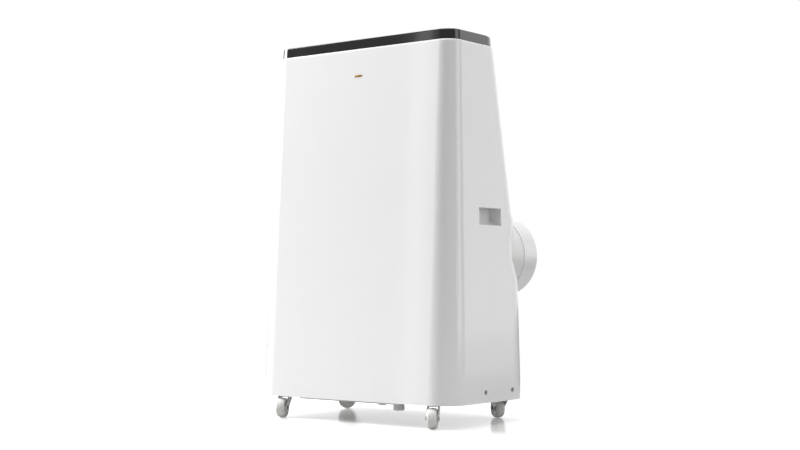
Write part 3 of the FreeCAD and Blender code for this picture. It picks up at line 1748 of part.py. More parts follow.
def bent_tube(path, radius):
    """A round tube along straight runs, with a ball at every bend."""
    pieces = []
    values = [tuple(as_dim(c).value for c in point) for point in path]
    for start, end in zip(values, values[1:]):
        a, b = Vector(*start), Vector(*end)
        run = Part.makeCylinder(radius.value, (b - a).Length, a, b - a)
        pieces.append(run)
    for point in values[1:-1]:
        pieces.append(Part.makeSphere(radius.value, Vector(*point)))
    feature = doc.addObject("Part::Feature", "Tube")
    feature.Shape = pieces[0].multiFuse(pieces[1:]).removeSplitter()
    return feature


# ---------------------------------------------------------------- rear fittings


def build_rear_fittings():
    """The cord gland, the drain spout and its cap."""
    wall_t = WALL
    face = deep("rear_low")
    thick = size("gland_nut_r") / 4
    bore = size("gland_bore_r")
    keep(
        "cord_gland",
        turned(
            [
                (bore, -wall_t * 3),
                (size("gland_r"), -wall_t * 3),
                (size("gland_r"), ZERO),
                (size("gland_nut_r"), ZERO),
                (size("gland_nut_r") - thick / 2, thick),
                (bore, thick),
            ],
            size("gland_x"), face, size("gland_z"), AXES["Y"],
        ),
    )
    r, inner = size("spout_r"), size("spout_bore_r")
    length = size("cap_t")
    keep(
        "drain_spout",
        turned(
            [
                (inner, -wall_t * 6),
                (r, -wall_t * 6),
                (r, -(wall_t + GAP)),
                (r, length / 2),
                (inner, length / 2),
            ],
            size("rear_drain_x"), face, size("rear_drain_z"), AXES["Y"],
        ),
    )
    cap_r = size("rear_drain_r")
    fit = size("drain_plug_fit")
    keep(
        "drain_cap",
        turned(
            [
                (r + fit, GAP),
                (cap_r, GAP),
                (cap_r, length - size("rim_round")),
                (cap_r - size("rim_round"), length),
                (ZERO, length),
                (ZERO, length / 2 + GAP),
                (r + fit, length / 2 + GAP),
            ],
            size("rear_drain_x"), face, size("rear_drain_z"), AXES["Y"],
        ),
    )


def check_and_write():
    """Stop on any broken feature, then write one file for each named sub-part."""
    doc.recompute()
    broken = []
    for thing in doc.Objects:
        if "Invalid" in thing.State or "Error" in thing.State:
            broken.append("%s %s" % (thing.Label, thing.State))
    for thing in nodes:
        shape = thing.Shape
        if shape.isNull() or not shape.isValid():
            broken.append("%s shape" % thing.Label)
        elif not shape.Solids:
            broken.append("%s has no solid" % thing.Label)
    if broken:
        raise RuntimeError("; ".join(broken))
    os.makedirs("parts", exist_ok=True)
    for thing in nodes:
        thing.Shape.exportStep(os.path.join("parts", "%s.step" % thing.Label))
        bounds = thing.Shape.BoundBox
        print("%-28s %2d solids  x %.1f..%.1f  y %.1f..%.1f  z %.1f..%.1f" % (
            thing.Label, len(thing.Shape.Solids), bounds.XMin, bounds.XMax,
            bounds.YMin, bounds.YMax, bounds.ZMin, bounds.ZMax,
        ))


build_casing()
build_screws()
build_badge()
build_top_cover()
build_controls()
build_flap()
build_outlet_duct()
build_grilles()
build_exhaust()
build_base_pan()
build_drain_plug()
build_casters()
build_tray_and_frames()
build_blower()
build_coils()
build_electrics()
build_fan()
build_compressor()
build_pipes()
build_rear_fittings()
check_and_write()
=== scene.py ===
"""Looks of a tall portable air conditioner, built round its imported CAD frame."""

import json
import logging
import math
from dataclasses import dataclass, field
from enum import Enum
from typing import Any, Optional, Sequence

import bmesh
import bpy
from mathutils import Matrix, Vector

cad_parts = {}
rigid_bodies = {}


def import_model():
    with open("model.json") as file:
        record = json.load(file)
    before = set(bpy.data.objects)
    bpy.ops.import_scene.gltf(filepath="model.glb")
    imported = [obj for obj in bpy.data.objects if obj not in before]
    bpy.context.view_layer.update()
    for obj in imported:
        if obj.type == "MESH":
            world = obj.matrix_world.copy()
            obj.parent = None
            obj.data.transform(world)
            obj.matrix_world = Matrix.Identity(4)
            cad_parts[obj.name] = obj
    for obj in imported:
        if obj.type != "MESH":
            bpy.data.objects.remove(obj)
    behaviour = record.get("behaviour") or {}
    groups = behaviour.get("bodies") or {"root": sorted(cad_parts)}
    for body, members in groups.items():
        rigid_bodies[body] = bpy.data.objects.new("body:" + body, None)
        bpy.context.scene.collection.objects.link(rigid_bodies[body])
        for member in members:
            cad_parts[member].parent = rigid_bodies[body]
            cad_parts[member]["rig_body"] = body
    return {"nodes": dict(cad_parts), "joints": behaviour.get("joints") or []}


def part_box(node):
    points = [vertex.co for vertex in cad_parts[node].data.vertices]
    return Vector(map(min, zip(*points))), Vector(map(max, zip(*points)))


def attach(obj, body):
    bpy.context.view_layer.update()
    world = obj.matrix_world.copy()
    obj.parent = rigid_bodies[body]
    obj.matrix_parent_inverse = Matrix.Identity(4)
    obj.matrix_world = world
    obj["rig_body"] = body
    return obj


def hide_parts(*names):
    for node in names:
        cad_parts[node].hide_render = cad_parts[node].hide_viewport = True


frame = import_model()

LOG = logging.getLogger("air_conditioner")
MM = 0.001
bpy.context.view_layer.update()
NODES = frame["nodes"]
CAD_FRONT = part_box("front_shell")[0].y

# Edges that turn more than this are rounded and shaded as edges
SHARP_DEG = 30.0
# Neighbouring faces that turn less than this are one flat face
FLAT_DEG = 0.5
# Points of a CAD mesh closer than this are one point, and shorter edges are dropped
WELD_MM = 0.002
SLIVER_MM = 0.001
# Points of a spun shape closer than this are one point
SPIN_WELD_MM = 0.01
# A wave texture of scale 1 turns this many radians along a metre
WAVE_RATE = 20.0
WHITE = (1.0, 1.0, 1.0, 1.0)


class Corner(Enum):
    """The corners that carry a caster, as their node and joint names end."""

    FRONT_LEFT = "front_left"
    FRONT_RIGHT = "front_right"
    REAR_LEFT = "rear_left"
    REAR_RIGHT = "rear_right"


# ------------------------------------------------------------------ materials


def linear(code: str, alpha: float = 1.0) -> tuple[float, float, float, float]:
    """Turn an sRGB hex colour into linear values.

    Args:
        code: Colour such as "#E6E6E6".
        alpha: Fourth value.

    Returns:
        Red, green, blue and alpha.
    """
    parts = [int(code[i : i + 2], 16) / 255 for i in (1, 3, 5)]
    red, green, blue = (
        v / 12.92 if v <= 0.04045 else ((v + 0.055) / 1.055) ** 2.4 for v in parts
    )
    return (red, green, blue, alpha)


def add_node(
    tree: bpy.types.NodeTree, kind: str, sockets: Optional[dict[Any, Any]] = None, **settings: Any
) -> bpy.types.Node:
    """Add a node with its settings, and fill or link its inputs.

    Args:
        tree: Node tree to add to.
        kind: Node type name.
        sockets: Input name or number to a value, or to the socket that feeds it.
        settings: Properties of the node itself.

    Returns:
        The new node.
    """
    node = tree.nodes.new(kind)
    for name, value in settings.items():
        setattr(node, name, value)
    for name, value in (sockets or {}).items():
        if isinstance(value, bpy.types.NodeSocket):
            tree.links.new(value, node.inputs[name])
        else:
            node.inputs[name].default_value = value
    return node


def ripple(
    tree: bpy.types.NodeTree, point: bpy.types.NodeSocket, period_mm: float, direction: str
) -> bpy.types.NodeSocket:
    """Even ridges along one direction.

    Args:
        tree: Node tree to add to.
        point: Object coordinates.
        period_mm: Distance from ridge to ridge.
        direction: "X", "Y" or "Z", the way the ridges follow one another.

    Returns:
        A height socket from 0 to 1.
    """
    wave = add_node(
        tree, "ShaderNodeTexWave",
        {"Vector": point, "Scale": math.tau / (period_mm * MM) / WAVE_RATE},
        wave_type="BANDS", bands_direction=direction, wave_profile="SIN",
    )
    return wave.outputs["Fac"]


@dataclass(frozen=True)
class Finish:
    """A surface with a fine grain, soft patches and a little grime low down.

    Attributes:
        name: Material name.
        colour: Main colour.
        tint: Colour of the faint patches.
        roughness: Middle roughness.
        spread: How far roughness wanders either way.
        metallic: 0 or 1.
        ior: Index of refraction, unused on metals.
        coat: Clear gloss over the surface.
        grain_mm: Size of the fine surface relief.
        relief_mm: Depth of that relief.
        patch_mm: Size of the soft patches.
        patch: Strength of the patches.
        dust: Strength of the dust on low surfaces.
        stretch: How much longer the grain is along one axis, for brushed or drawn surfaces.
    """

    name: str
    colour: str
    tint: str
    roughness: float
    spread: float = 0.05
    metallic: float = 0.0
    ior: float = 1.5
    coat: float = 0.0
    grain_mm: float = 0.8
    relief_mm: float = 0.01
    patch_mm: float = 90.0
    patch: float = 0.25
    dust: float = 0.0
    stretch: tuple[float, float, float] = (1.0, 1.0, 1.0)

    def base(self, tree: bpy.types.NodeTree, point: bpy.types.NodeSocket) -> bpy.types.NodeSocket:
        """Colour of the surface before dust; richer finishes override this.

        Args:
            tree: Node tree to add to.
            point: Object coordinates.

        Returns:
            A colour socket.
        """
        patches = add_node(
            tree, "ShaderNodeTexNoise",
            {"Vector": point, "Scale": 1000 / self.patch_mm, "Detail": 3.0, "Roughness": 0.55},
        )
        amount = add_node(
            tree, "ShaderNodeMapRange",
            {"Value": patches.outputs["Fac"], "From Min": 0.35, "From Max": 0.75,
             "To Min": 0.0, "To Max": self.patch},
        )
        mix = add_node(
            tree, "ShaderNodeMix",
            {"Factor": amount.outputs["Result"], "A": linear(self.colour), "B": linear(self.tint)},
            data_type="RGBA",
        )
        return mix.outputs["Result"]

    def relief(
        self, tree: bpy.types.NodeTree, point: bpy.types.NodeSocket
    ) -> bpy.types.NodeSocket:
        """Height of the fine relief.

        Args:
            tree: Node tree to add to.
            point: Object coordinates.

        Returns:
            A height socket from 0 to 1.
        """
        stretched = add_node(tree, "ShaderNodeMapping", {"Vector": point, "Scale": self.stretch})
        grain = add_node(
            tree, "ShaderNodeTexNoise",
            {"Vector": stretched.outputs["Vector"], "Scale": 1000 / self.grain_mm,
             "Detail": 2.0, "Roughness": 0.5},
        )
        return grain.outputs["Fac"]

    def build(self) -> bpy.types.Material:
        """Make the material, or return it if it exists.

        Returns:
            The material.
        """
        known = bpy.data.materials.get(self.name)
        if known:
            return known
        material = bpy.data.materials.new(self.name)
        material.use_nodes = True
        tree = material.node_tree
        tree.nodes.clear()
        point = add_node(tree, "ShaderNodeTexCoord").outputs["Object"]
        colour = self.base(tree, point)
        if self.dust:
            colour = self._dusted(tree, point, colour)
        wander = add_node(
            tree, "ShaderNodeTexNoise",
            {"Vector": point, "Scale": 1000 / (self.patch_mm * 0.6), "Detail": 5.0},
        )
        rough = add_node(
            tree, "ShaderNodeMapRange",
            {"Value": wander.outputs["Fac"], "From Min": 0.3, "From Max": 0.7,
             "To Min": max(self.roughness - self.spread, 0.02),
             "To Max": self.roughness + self.spread},
        )
        bump = add_node(
            tree, "ShaderNodeBump",
            {"Height": self.relief(tree, point), "Distance": self.relief_mm * MM, "Strength": 1.0},
        )
        shader = add_node(
            tree, "ShaderNodeBsdfPrincipled",
            {"Base Color": colour, "Roughness": rough.outputs["Result"],
             "Metallic": self.metallic, "Normal": bump.outputs["Normal"],
             "Coat Weight": self.coat, "Coat Roughness": 0.05},
        )
        if not self.metallic:
            shader.inputs["IOR"].default_value = self.ior
        add_node(tree, "ShaderNodeOutputMaterial", {"Surface": shader.outputs["BSDF"]})
        return material

    def _dusted(
        self, tree: bpy.types.NodeTree, point: bpy.types.NodeSocket, colour: bpy.types.NodeSocket
    ) -> bpy.types.NodeSocket:
        """Lay faint dust on surfaces near the floor.

        Args:
            tree: Node tree to add to.
            point: Object coordinates.
            colour: Clean colour.

        Returns:
            The dusted colour.
        """
        height = add_node(tree, "ShaderNodeSeparateXYZ", {"Vector": point}).outputs["Z"]
        low = add_node(
            tree, "ShaderNodeMapRange",
            {"Value": height, "From Min": 0.0, "From Max": 0.07, "To Min": 1.0, "To Max": 0.0},
        )
        specks = add_node(
            tree, "ShaderNodeTexNoise", {"Vector": point, "Scale": 260.0, "Detail": 4.0}
        )
        speck = add_node(
            tree, "ShaderNodeMapRange",
            {"Value": specks.outputs["Fac"], "From Min": 0.4, "From Max": 0.8,
             "To Min": 0.0, "To Max": self.dust},
        )
        amount = add_node(
            tree, "ShaderNodeMath", {0: low.outputs["Result"], 1: speck.outputs["Result"]},
            operation="MULTIPLY",
        )
        mix = add_node(
            tree, "ShaderNodeMix",
            {"Factor": amount.outputs["Value"], "A": colour, "B": linear("#8E8A83")},
            data_type="RGBA",
        )
        return mix.outputs["Result"]


@dataclass(frozen=True)
class FinStack(Finish):
    """Pressed aluminium fins: bright upright lines across a coil; the tint is painted shade in the
    gaps between them.

    Attributes:
        pitch_mm: Distance between fins, coarser than the real 1.4 mm so that they show.
    """

    pitch_mm: float = 4.8

    def relief(
        self, tree: bpy.types.NodeTree, point: bpy.types.NodeSocket
    ) -> bpy.types.NodeSocket:
        """Height of the fins.

        Args:
            tree: Node tree to add to.
            point: Object coordinates.

        Returns:
            A height socket from 0 to 1.
        """
        return ripple(tree, point, self.pitch_mm, "X")

    def base(self, tree: bpy.types.NodeTree, point: bpy.types.NodeSocket) -> bpy.types.NodeSocket:
        """Painted shade in the gaps between bright fin edges.

        Args:
            tree: Node tree to add to.
            point: Object coordinates.

        Returns:
            A colour socket.
        """
        # Painted shade: the dark tint fills the gaps between the fins
        fin_over_gap_shade = add_node(
            tree, "ShaderNodeMapRange",
            {"Value": self.relief(tree, point), "From Min": 0.2, "From Max": 0.8,
             "To Min": 0.0, "To Max": 1.0},
        )
        mix = add_node(
            tree, "ShaderNodeMix",
            {"Factor": fin_over_gap_shade.outputs["Result"], "A": linear(self.tint), "B": linear(self.colour)},
            data_type="RGBA",
        )
        return mix.outputs["Result"]


@dataclass(frozen=True)
class WovenCloth(Finish):
    """Filter cloth: a square weave of fine threads, with painted shade in the small holes between
    them.

    Attributes:
        thread_mm: Distance between threads, coarser than the real 1 mm so that they show.
    """

    thread_mm: float = 3.2

    def relief(
        self, tree: bpy.types.NodeTree, point: bpy.types.NodeSocket
    ) -> bpy.types.NodeSocket:
        """Height of the weave, from two crossed sets of threads.

        Args:
            tree: Node tree to add to.
            point: Object coordinates.

        Returns:
            A height socket from 0 to 1.
        """
        across, up = (ripple(tree, point, self.thread_mm, way) for way in ("X", "Z"))
        both = add_node(tree, "ShaderNodeMath", {0: across, 1: up}, operation="MAXIMUM")
        return both.outputs["Value"]

    def base(self, tree: bpy.types.NodeTree, point: bpy.types.NodeSocket) -> bpy.types.NodeSocket:
        """Painted shade in the holes between paler threads.

        Args:
            tree: Node tree to add to.
            point: Object coordinates.

        Returns:
            A colour socket.
        """
        # Painted shade: the near-black tint fills the holes between the threads
        mix = add_node(
            tree, "ShaderNodeMix",
            {"Factor": self.relief(tree, point), "A": linear(self.tint), "B": linear(self.colour)},
            data_type="RGBA",
        )
        return mix.outputs["Result"]


class Finishes:
    """Every finish on the object, named for the real material and how it was made."""

    # Injection-moulded ABS, polished tool: bright, wet-looking gloss with very faint waviness
    shell = Finish(
        "abs_polished_white", "#EEEEEE", "#EAEAE9", 0.12, 0.01, ior=1.52, coat=0.25,
        grain_mm=22.0, relief_mm=0.012, patch=0.3, dust=0.1,
    )
    # Same ABS on inner and rear faces, with satin roughness; its colour is painted a shade darker
    # than the front as painted shade, so the slats read against it
    rear = Finish(
        "abs_satin_white_painted_shade", "#EAEAE9", "#E4E4E2", 0.26, 0.02, ior=1.52,
        grain_mm=0.9, relief_mm=0.008, patch=0.2, dust=0.15,
    )
    # Injection-moulded ABS with a piano-black tool: deep black, sharp reflections, fine dust haze
    band = Finish(
        "abs_piano_black", "#101012", "#18181A", 0.1, 0.03, ior=1.54, coat=0.3,
        grain_mm=18.0, relief_mm=0.01, patch=0.5,
    )
    # Smoked acrylic window: near black, mirror smooth
    window = Finish(
        "acrylic_smoked", "#060608", "#0A0A0E", 0.05, 0.01, ior=1.49, coat=0.3,
        grain_mm=30.0, relief_mm=0.004, patch=0.3,
    )
    # Button caps, spark-eroded tool: even satin grey
    button = Finish(
        "abs_spark_grey", "#6E6F72", "#626366", 0.42, 0.05, grain_mm=0.35, relief_mm=0.02,
        patch_mm=8.0, patch=0.5,
    )
    # Talc-filled polypropylene of ducts and scrolls: dull mid grey with a slight mottle
    duct = Finish(
        "polypropylene_grey", "#4A4C4F", "#3E4043", 0.5, 0.08, grain_mm=0.7, relief_mm=0.04,
        patch_mm=60.0, patch=0.6,
    )
    # Polypropylene of pan and tray: soft white with a slight mottle
    pan = Finish(
        "polypropylene_white", "#D8D8D6", "#CCCCC9", 0.4, 0.06, grain_mm=0.9, relief_mm=0.03,
        patch_mm=70.0, patch=0.6, dust=0.25,
    )
    # Moulded nylon of casters: faintly warm white, low sheen, grimy at the tread
    nylon = Finish(
        "nylon_moulded_white", "#E6E6E3", "#DADAD6", 0.34, 0.06, ior=1.53, grain_mm=0.6,
        relief_mm=0.02, patch_mm=14.0, patch=0.5, dust=0.35,
    )
    # Zinc-plated steel: cool grey metal with a fine cloudy spangle
    plated = Finish(
        "steel_zinc_plated", "#9EA1A6", "#7F8388", 0.3, 0.08, metallic=1.0, grain_mm=0.4,
        relief_mm=0.01, patch_mm=3.0, patch=0.6,
    )
    # Blackened axle steel: dark, slightly oily
    axle = Finish(
        "steel_blackened", "#3A3A3C", "#2C2C2E", 0.35, 0.08, metallic=1.0, grain_mm=0.4,
        relief_mm=0.01, patch_mm=3.0, patch=0.6,
    )
    # Galvanised sheet: broad spangle patches
    sheet = Finish(
        "steel_galvanised", "#A9ADB0", "#868A8E", 0.38, 0.1, metallic=1.0, grain_mm=1.2,
        relief_mm=0.01, patch_mm=12.0, patch=0.8,
    )
    # Baked black enamel on the compressor: low gloss with orange peel
    enamel = Finish(
        "enamel_black", "#161618", "#202022", 0.3, 0.06, grain_mm=1.8, relief_mm=0.05,
        patch_mm=40.0, patch=0.5,
    )
    # Drawn copper tube: warm, streaked along its length, dull where handled
    copper = Finish(
        "copper_drawn", "#B87350", "#8C5238", 0.3, 0.1, metallic=1.0, grain_mm=0.8,
        relief_mm=0.01, patch_mm=16.0, patch=0.7, stretch=(1.0, 1.0, 0.1),
    )
    # Moulded rubber: near black, chalky at the edges
    rubber = Finish(
        "rubber_moulded", "#1C1C1D", "#2A2A2B", 0.7, 0.08, grain_mm=0.5, relief_mm=0.05,
        patch_mm=10.0, patch=0.6,
    )
    # Glass-epoxy board: green solder mask, slightly glossy
    board = Finish(
        "epoxy_board_green", "#14502C", "#0F4024", 0.3, 0.06, grain_mm=1.0, relief_mm=0.03,
        patch_mm=6.0, patch=0.8,
    )
    # Hot-stamped gold foil: warm mirror with fine scratches
    foil = Finish(
        "foil_gold_stamped", "#C9A15A", "#B08A48", 0.2, 0.05, metallic=1.0, grain_mm=0.5,
        relief_mm=0.005, patch_mm=4.0, patch=0.4,
    )
    # Drawn aluminium can: soft sheen
    can = Finish(
        "aluminium_drawn", "#B9BCC0", "#A3A6AA", 0.3, 0.08, metallic=1.0, grain_mm=0.6,
        relief_mm=0.01, patch_mm=14.0, patch=0.5, stretch=(1.0, 1.0, 0.08),
    )
    # Pressed aluminium fins: bright edges, with painted shade in the dark gaps
    fins = FinStack(
        "aluminium_fins_pressed", "#C4C7CA", "#3A3C3E", 0.35, 0.05, metallic=1.0,
        relief_mm=0.4, patch_mm=30.0,
    )
    # Woven polyester filter cloth: dark threads, with painted shade in the holes
    cloth = WovenCloth(
        "polyester_filter_cloth", "#4A4E52", "#0E0F10", 0.75, 0.05, relief_mm=0.3, patch_mm=30.0,
    )


# ------------------------------------------------------------------ pieces


def new_piece(
    label: str,
    mesh: bpy.types.Mesh,
    body: str,
    finish: Finish,
    stands_for: Sequence[str],
) -> bpy.types.Object:
    """Put a finished mesh in the scene as one piece.

    Args:
        label: Piece name.
        mesh: Mesh with its place in its vertices.
        body: CAD body it moves with.
        finish: Surface.
        stands_for: CAD nodes it replaces.

    Returns:
        The object.
    """
    piece = bpy.data.objects.new(label, mesh)
    bpy.context.scene.collection.objects.link(piece)
    mesh.materials.clear()
    mesh.materials.append(finish.build())
    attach(piece, body)
    if stands_for:
        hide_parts(*stands_for)
    LOG.info("piece %s rides on %s", label, body)
    return piece


def body_of(node: str) -> str:
    """The CAD body that a node belongs to.

    Args:
        node: CAD node.

    Returns:
        The body's name.
    """
    return NODES[node]["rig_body"]


def crisp(piece: bpy.types.Object, width_mm: float, segments: int = 2) -> None:
    """Round a piece's sharp edges and shade the rest smooth.

    Args:
        piece: The piece.
        width_mm: Width of the rounding, 0 for none.
        segments: Steps across it.
    """
    for face in piece.data.polygons:
        face.use_smooth = True
    if width_mm > 0:
        bevel = piece.modifiers.new("edge_rounding", "BEVEL")
        bevel.width = width_mm * MM
        bevel.segments = segments
        bevel.limit_method = "ANGLE"
        bevel.angle_limit = math.radians(SHARP_DEG)
        bevel.harden_normals = True
        bevel.miter_outer = "MITER_ARC"
    weighted = piece.modifiers.new("even_shading", "WEIGHTED_NORMAL")
    weighted.keep_sharp = True
    weighted.weight = 100


def refit(node: str, finish: Finish, width_mm: float, segments: int) -> None:
    """A merged, edge-rounded copy of a CAD node that stands for it.

    Args:
        node: CAD node.
        finish: Surface.
        width_mm: Edge rounding.
        segments: Steps across the rounding.
    """
    shape = bmesh.new()
    shape.from_mesh(NODES[node].data)
    bmesh.ops.remove_doubles(shape, verts=shape.verts, dist=WELD_MM * MM)
    bmesh.ops.dissolve_degenerate(shape, edges=shape.edges, dist=SLIVER_MM * MM)
    bmesh.ops.dissolve_limit(
        shape, angle_limit=math.radians(FLAT_DEG), verts=shape.verts, edges=shape.edges
    )
    for edge in shape.edges:
        gentle = edge.calc_face_angle(0) < math.radians(SHARP_DEG)
        edge.smooth = len(edge.link_faces) == 2 and gentle
    mesh = bpy.data.meshes.new(f"{node}_look")
    shape.to_mesh(mesh)
    shape.free()
    piece = new_piece(f"{node}_look", mesh, body_of(node), finish, [node])
    crisp(piece, width_mm, segments)


def dress(node: str, finish: Finish) -> None:
    """Give a CAD node that stays a finish of its own.

    Args:
        node: CAD node.
        finish: Surface.
    """
    data = NODES[node].data
    data.materials.clear()
    data.materials.append(finish.build())
    LOG.info("node %s keeps its shape, finish %s", node, finish.name)


def spun(
    profile: Sequence[tuple[float, float]], place: Vector, turn: Matrix, steps: int
) -> bpy.types.Mesh:
    """Spin a closed profile of radius and height in millimetres into a mesh.

    Args:
        profile: Corners of the section, in order.
        place: Where the section's zero height on the axis goes.
        turn: Turn from +Z to the axis.
        steps: Steps round the circle.

    Returns:
        The mesh.
    """
    shape = bmesh.new()
    verts = [shape.verts.new((r * MM, 0.0, h * MM)) for r, h in profile]
    edges = [shape.edges.new((verts[i - 1], verts[i])) for i in range(len(verts))]
    bmesh.ops.spin(
        shape, geom=verts + edges, cent=(0, 0, 0), axis=(0, 0, 1), angle=math.tau,
        steps=steps, use_merge=True,
    )
    bmesh.ops.remove_doubles(shape, verts=shape.verts, dist=SPIN_WELD_MM * MM)
    bmesh.ops.recalc_face_normals(shape, faces=shape.faces)
    bmesh.ops.transform(
        shape, matrix=Matrix.Translation(place) @ turn, verts=shape.verts
    )
    mesh = bpy.data.meshes.new("turned")
    shape.to_mesh(mesh)
    shape.free()
    return mesh


def rounded_profile(
    corners: Sequence[tuple[float, float, float]], steps: int = 5
) -> list[tuple[float, float]]:
    """Round the corners of a section.

    Args:
        corners: Radius, height and rounding of each corner, in millimetres.
        steps: Points along each rounding.

    Returns:
        Points of the rounded section.
    """
    points: list[tuple[float, float]] = []
    count = len(corners)
    for i, (x, y, r) in enumerate(corners):
        here = Vector((x, y))
        if r <= 0:
            points.append((x, y))
            continue
        before = Vector(corners[i - 1][:2]) - here
        after = Vector(corners[(i + 1) % count][:2]) - here
        half = before.angle(after) / 2
        reach = min(r / math.tan(half), before.length * 0.49, after.length * 0.49)
        start = here + before.normalized() * reach
        end = here + after.normalized() * reach
        for k in range(steps + 1):
            t = k / steps
            point = start * (1 - t) ** 2 + here * 2 * t * (1 - t) + end * t**2
            points.append((point.x, point.y))
    return points


@dataclass
class Cabinet:
    """White casing, handle cups, rear grilles, pan and small fittings.

    Attributes:
        edge_mm: Rounding of the casing's edges.
        stub_mm: Length of the hose connector outside the casing.
        stub_wall_mm: Wall of the hose connector.
        stub_step_mm: How much slimmer the connector is where it enters the casing.
        mouth_mm: Depth of the easing behind the connector's mouth.
        stub_steps: Steps round the connector.
    """

    edge_mm: float = 0.8
    stub_mm: float = 48.5
    stub_wall_mm: float = 6.5
    stub_step_mm: float = 3.4
    mouth_mm: float = 4.0
    stub_steps: int = 128

    def build(self) -> None:
        """Make every outer white piece."""
        refit("front_shell", Finishes.shell, self.edge_mm, 3)
        refit("rear_panel", Finishes.rear, self.edge_mm, 3)
        for side in ("left", "right"):
            refit(f"handle_{side}", Finishes.shell, 1.2, 4)
        for level in ("upper", "lower"):
            refit(f"{level}_grille", Finishes.rear, 0.5, 2)
            dress(f"{level}_filter", Finishes.cloth)
        refit("base_pan", Finishes.pan, 0.6, 2)
        refit("drain_plug", Finishes.pan, 1.2, 3)
        refit("drain_cap", Finishes.rubber, 0.5, 2)
        refit("drain_spout", Finishes.duct, 0.3, 2)
        refit("cord_gland", Finishes.duct, 0.8, 3)
        refit("badge", Finishes.foil, 0.2, 2)
        refit("case_screws", Finishes.plated, 0.2, 2)
        self.connector()

    def connector(self) -> None:
        """The smooth round exhaust connector with its rolled rim."""
        low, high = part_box("exhaust_connector")
        radius = (high.z - low.z) / 2 / MM
        centre = Vector(((low.x + high.x) / 2, high.y, (low.z + high.z) / 2))
        tail = -(high.y - low.y) / MM
        bore = radius - self.stub_wall_mm
        slim = radius - self.stub_step_mm
        section = rounded_profile(
            [
                (bore, tail, 0.6),
                (slim, tail, 0.6),
                (slim, -self.stub_mm, 0.0),
                (radius, -self.stub_mm, 0.4),
                (radius, -self.mouth_mm, 1.0),
                (radius - 0.5, 0.0, 2.2),
                (bore, 0.0, 2.4),
            ]
        )
        along_y = Matrix.Rotation(math.radians(-90), 4, "X")
        mesh = spun(section, centre, along_y, self.stub_steps)
        piece = new_piece(
            "exhaust_connector_look", mesh, body_of("exhaust_connector"), Finishes.shell,
            ["exhaust_connector"],
        )
        crisp(piece, 0.0)


@dataclass
class TopDeck:
    """Dark top cover, controls and outlet flap.

    Attributes:
        edge_mm: Rounding of the cover's edges.
    """

    edge_mm: float = 0.6

    def build(self) -> None:
        """Make the pieces of the top."""
        refit("top_cover", Finishes.band, self.edge_mm, 3)
        refit("control_fascia", Finishes.band, 0.3, 2)
        refit("display_window", Finishes.window, 0.3, 2)
        refit("outlet_flap", Finishes.band, 0.5, 3)
        for label in ("timer", "speed", "mode", "down", "up", "power"):
            refit(f"button_{label}", Finishes.button, 0.35, 3)
        dress("control_board", Finishes.board)
        dress("flap_motor", Finishes.duct)
        dress("outlet_duct", Finishes.duct)
        refit("outlet_guard", Finishes.duct, 0.3, 2)


@dataclass
class Casters:
    """The four swivel casters.

    Attributes:
        tread_mm: Radius at the middle of the tread.
        half_mm: Half the wheel's width.
        shoulder_mm: Radius where the tread starts to fall away.
        shoulder_half_mm: Distance of that place from the wheel's middle.
        side_mm: Radius where the tread turns into the face.
        rim_mm: Inner radius of the raised rim.
        dish_mm: Outer radius of the dished face.
        hub_mm: Radius of the hub.
        hub_foot_mm: Radius where the hub meets the dish.
        bore_mm: Radius of the axle hole.
        dish_half_mm: Half the wheel's thickness at the dish.
        steps: Steps round the wheel.
    """

    tread_mm: float = 20.0
    half_mm: float = 9.0
    shoulder_mm: float = 19.4
    shoulder_half_mm: float = 6.4
    side_mm: float = 17.6
    rim_mm: float = 15.2
    dish_mm: float = 14.4
    hub_mm: float = 6.0
    hub_foot_mm: float = 6.6
    bore_mm: float = 2.6
    dish_half_mm: float = 7.4
    steps: int = 72

    def build(self) -> None:
        """Make wheel, fork and axle at each corner."""
        for corner in Corner:
            self.wheel(corner)
            refit(f"caster_fork_{corner.value}", Finishes.nylon, 0.5, 3)
            refit(f"caster_axle_{corner.value}", Finishes.axle, 0.4, 3)

    def wheel(self, corner: Corner) -> None:
        """A wide wheel with a crowned tread and a dished face.

        Args:
            corner: Where the caster stands.
        """
        node = f"caster_wheel_{corner.value}"
        joint = next(j for j in frame["joints"] if j["name"] == f"roll_{corner.value}")
        axis = Vector(joint["axis"])
        centre = Vector(joint["pos_m"])
        face = [
            (self.bore_mm, self.half_mm, 0.3),
            (self.hub_mm, self.half_mm, 0.6),
            (self.hub_foot_mm, self.dish_half_mm, 0.5),
            (self.dish_mm, self.dish_half_mm, 0.5),
            (self.rim_mm, self.half_mm, 0.5),
            (self.side_mm, self.half_mm, 1.0),
            (self.shoulder_mm, self.shoulder_half_mm, 4.0),
        ]
        near = [(radius, -height, rounding) for radius, height, rounding in face]
        crown = (self.tread_mm, 0.0, 12.0)
        section = rounded_profile([*near, crown, *reversed(face)], 4)
        turn = axis.to_track_quat("Z", "Y").to_matrix().to_4x4()
        mesh = spun(section, centre, turn, self.steps)
        piece = new_piece(f"{node}_look", mesh, body_of(node), Finishes.nylon, [node])
        crisp(piece, 0.0)


@dataclass
class Works:
    """The working parts inside, which keep their CAD shapes.

    Attributes:
        finishes: Finish of each inner node.
    """

    finishes: dict[str, Finish] = field(
        default_factory=lambda: {
            "drip_tray": Finishes.pan,
            "side_frames": Finishes.sheet,
            "blower_scroll": Finishes.duct,
            "blower_wheel": Finishes.duct,
            "blower_motor": Finishes.sheet,
            "evaporator_coil": Finishes.fins,
            "condenser_coil": Finishes.fins,
            "electrics_box": Finishes.sheet,
            "main_board": Finishes.board,
            "capacitor": Finishes.can,
            "fan_scroll": Finishes.duct,
            "fan_wheel": Finishes.duct,
            "fan_motor": Finishes.sheet,
            "exhaust_plenum": Finishes.duct,
            "compressor": Finishes.enamel,
            "compressor_mounts": Finishes.rubber,
            "accumulator": Finishes.enamel,
            "refrigerant_pipes": Finishes.copper,
        }
    )

    def build(self) -> None:
        """Dress the inner nodes."""
        for node, finish in self.finishes.items():
            dress(node, finish)


# ------------------------------------------------------------------ studio


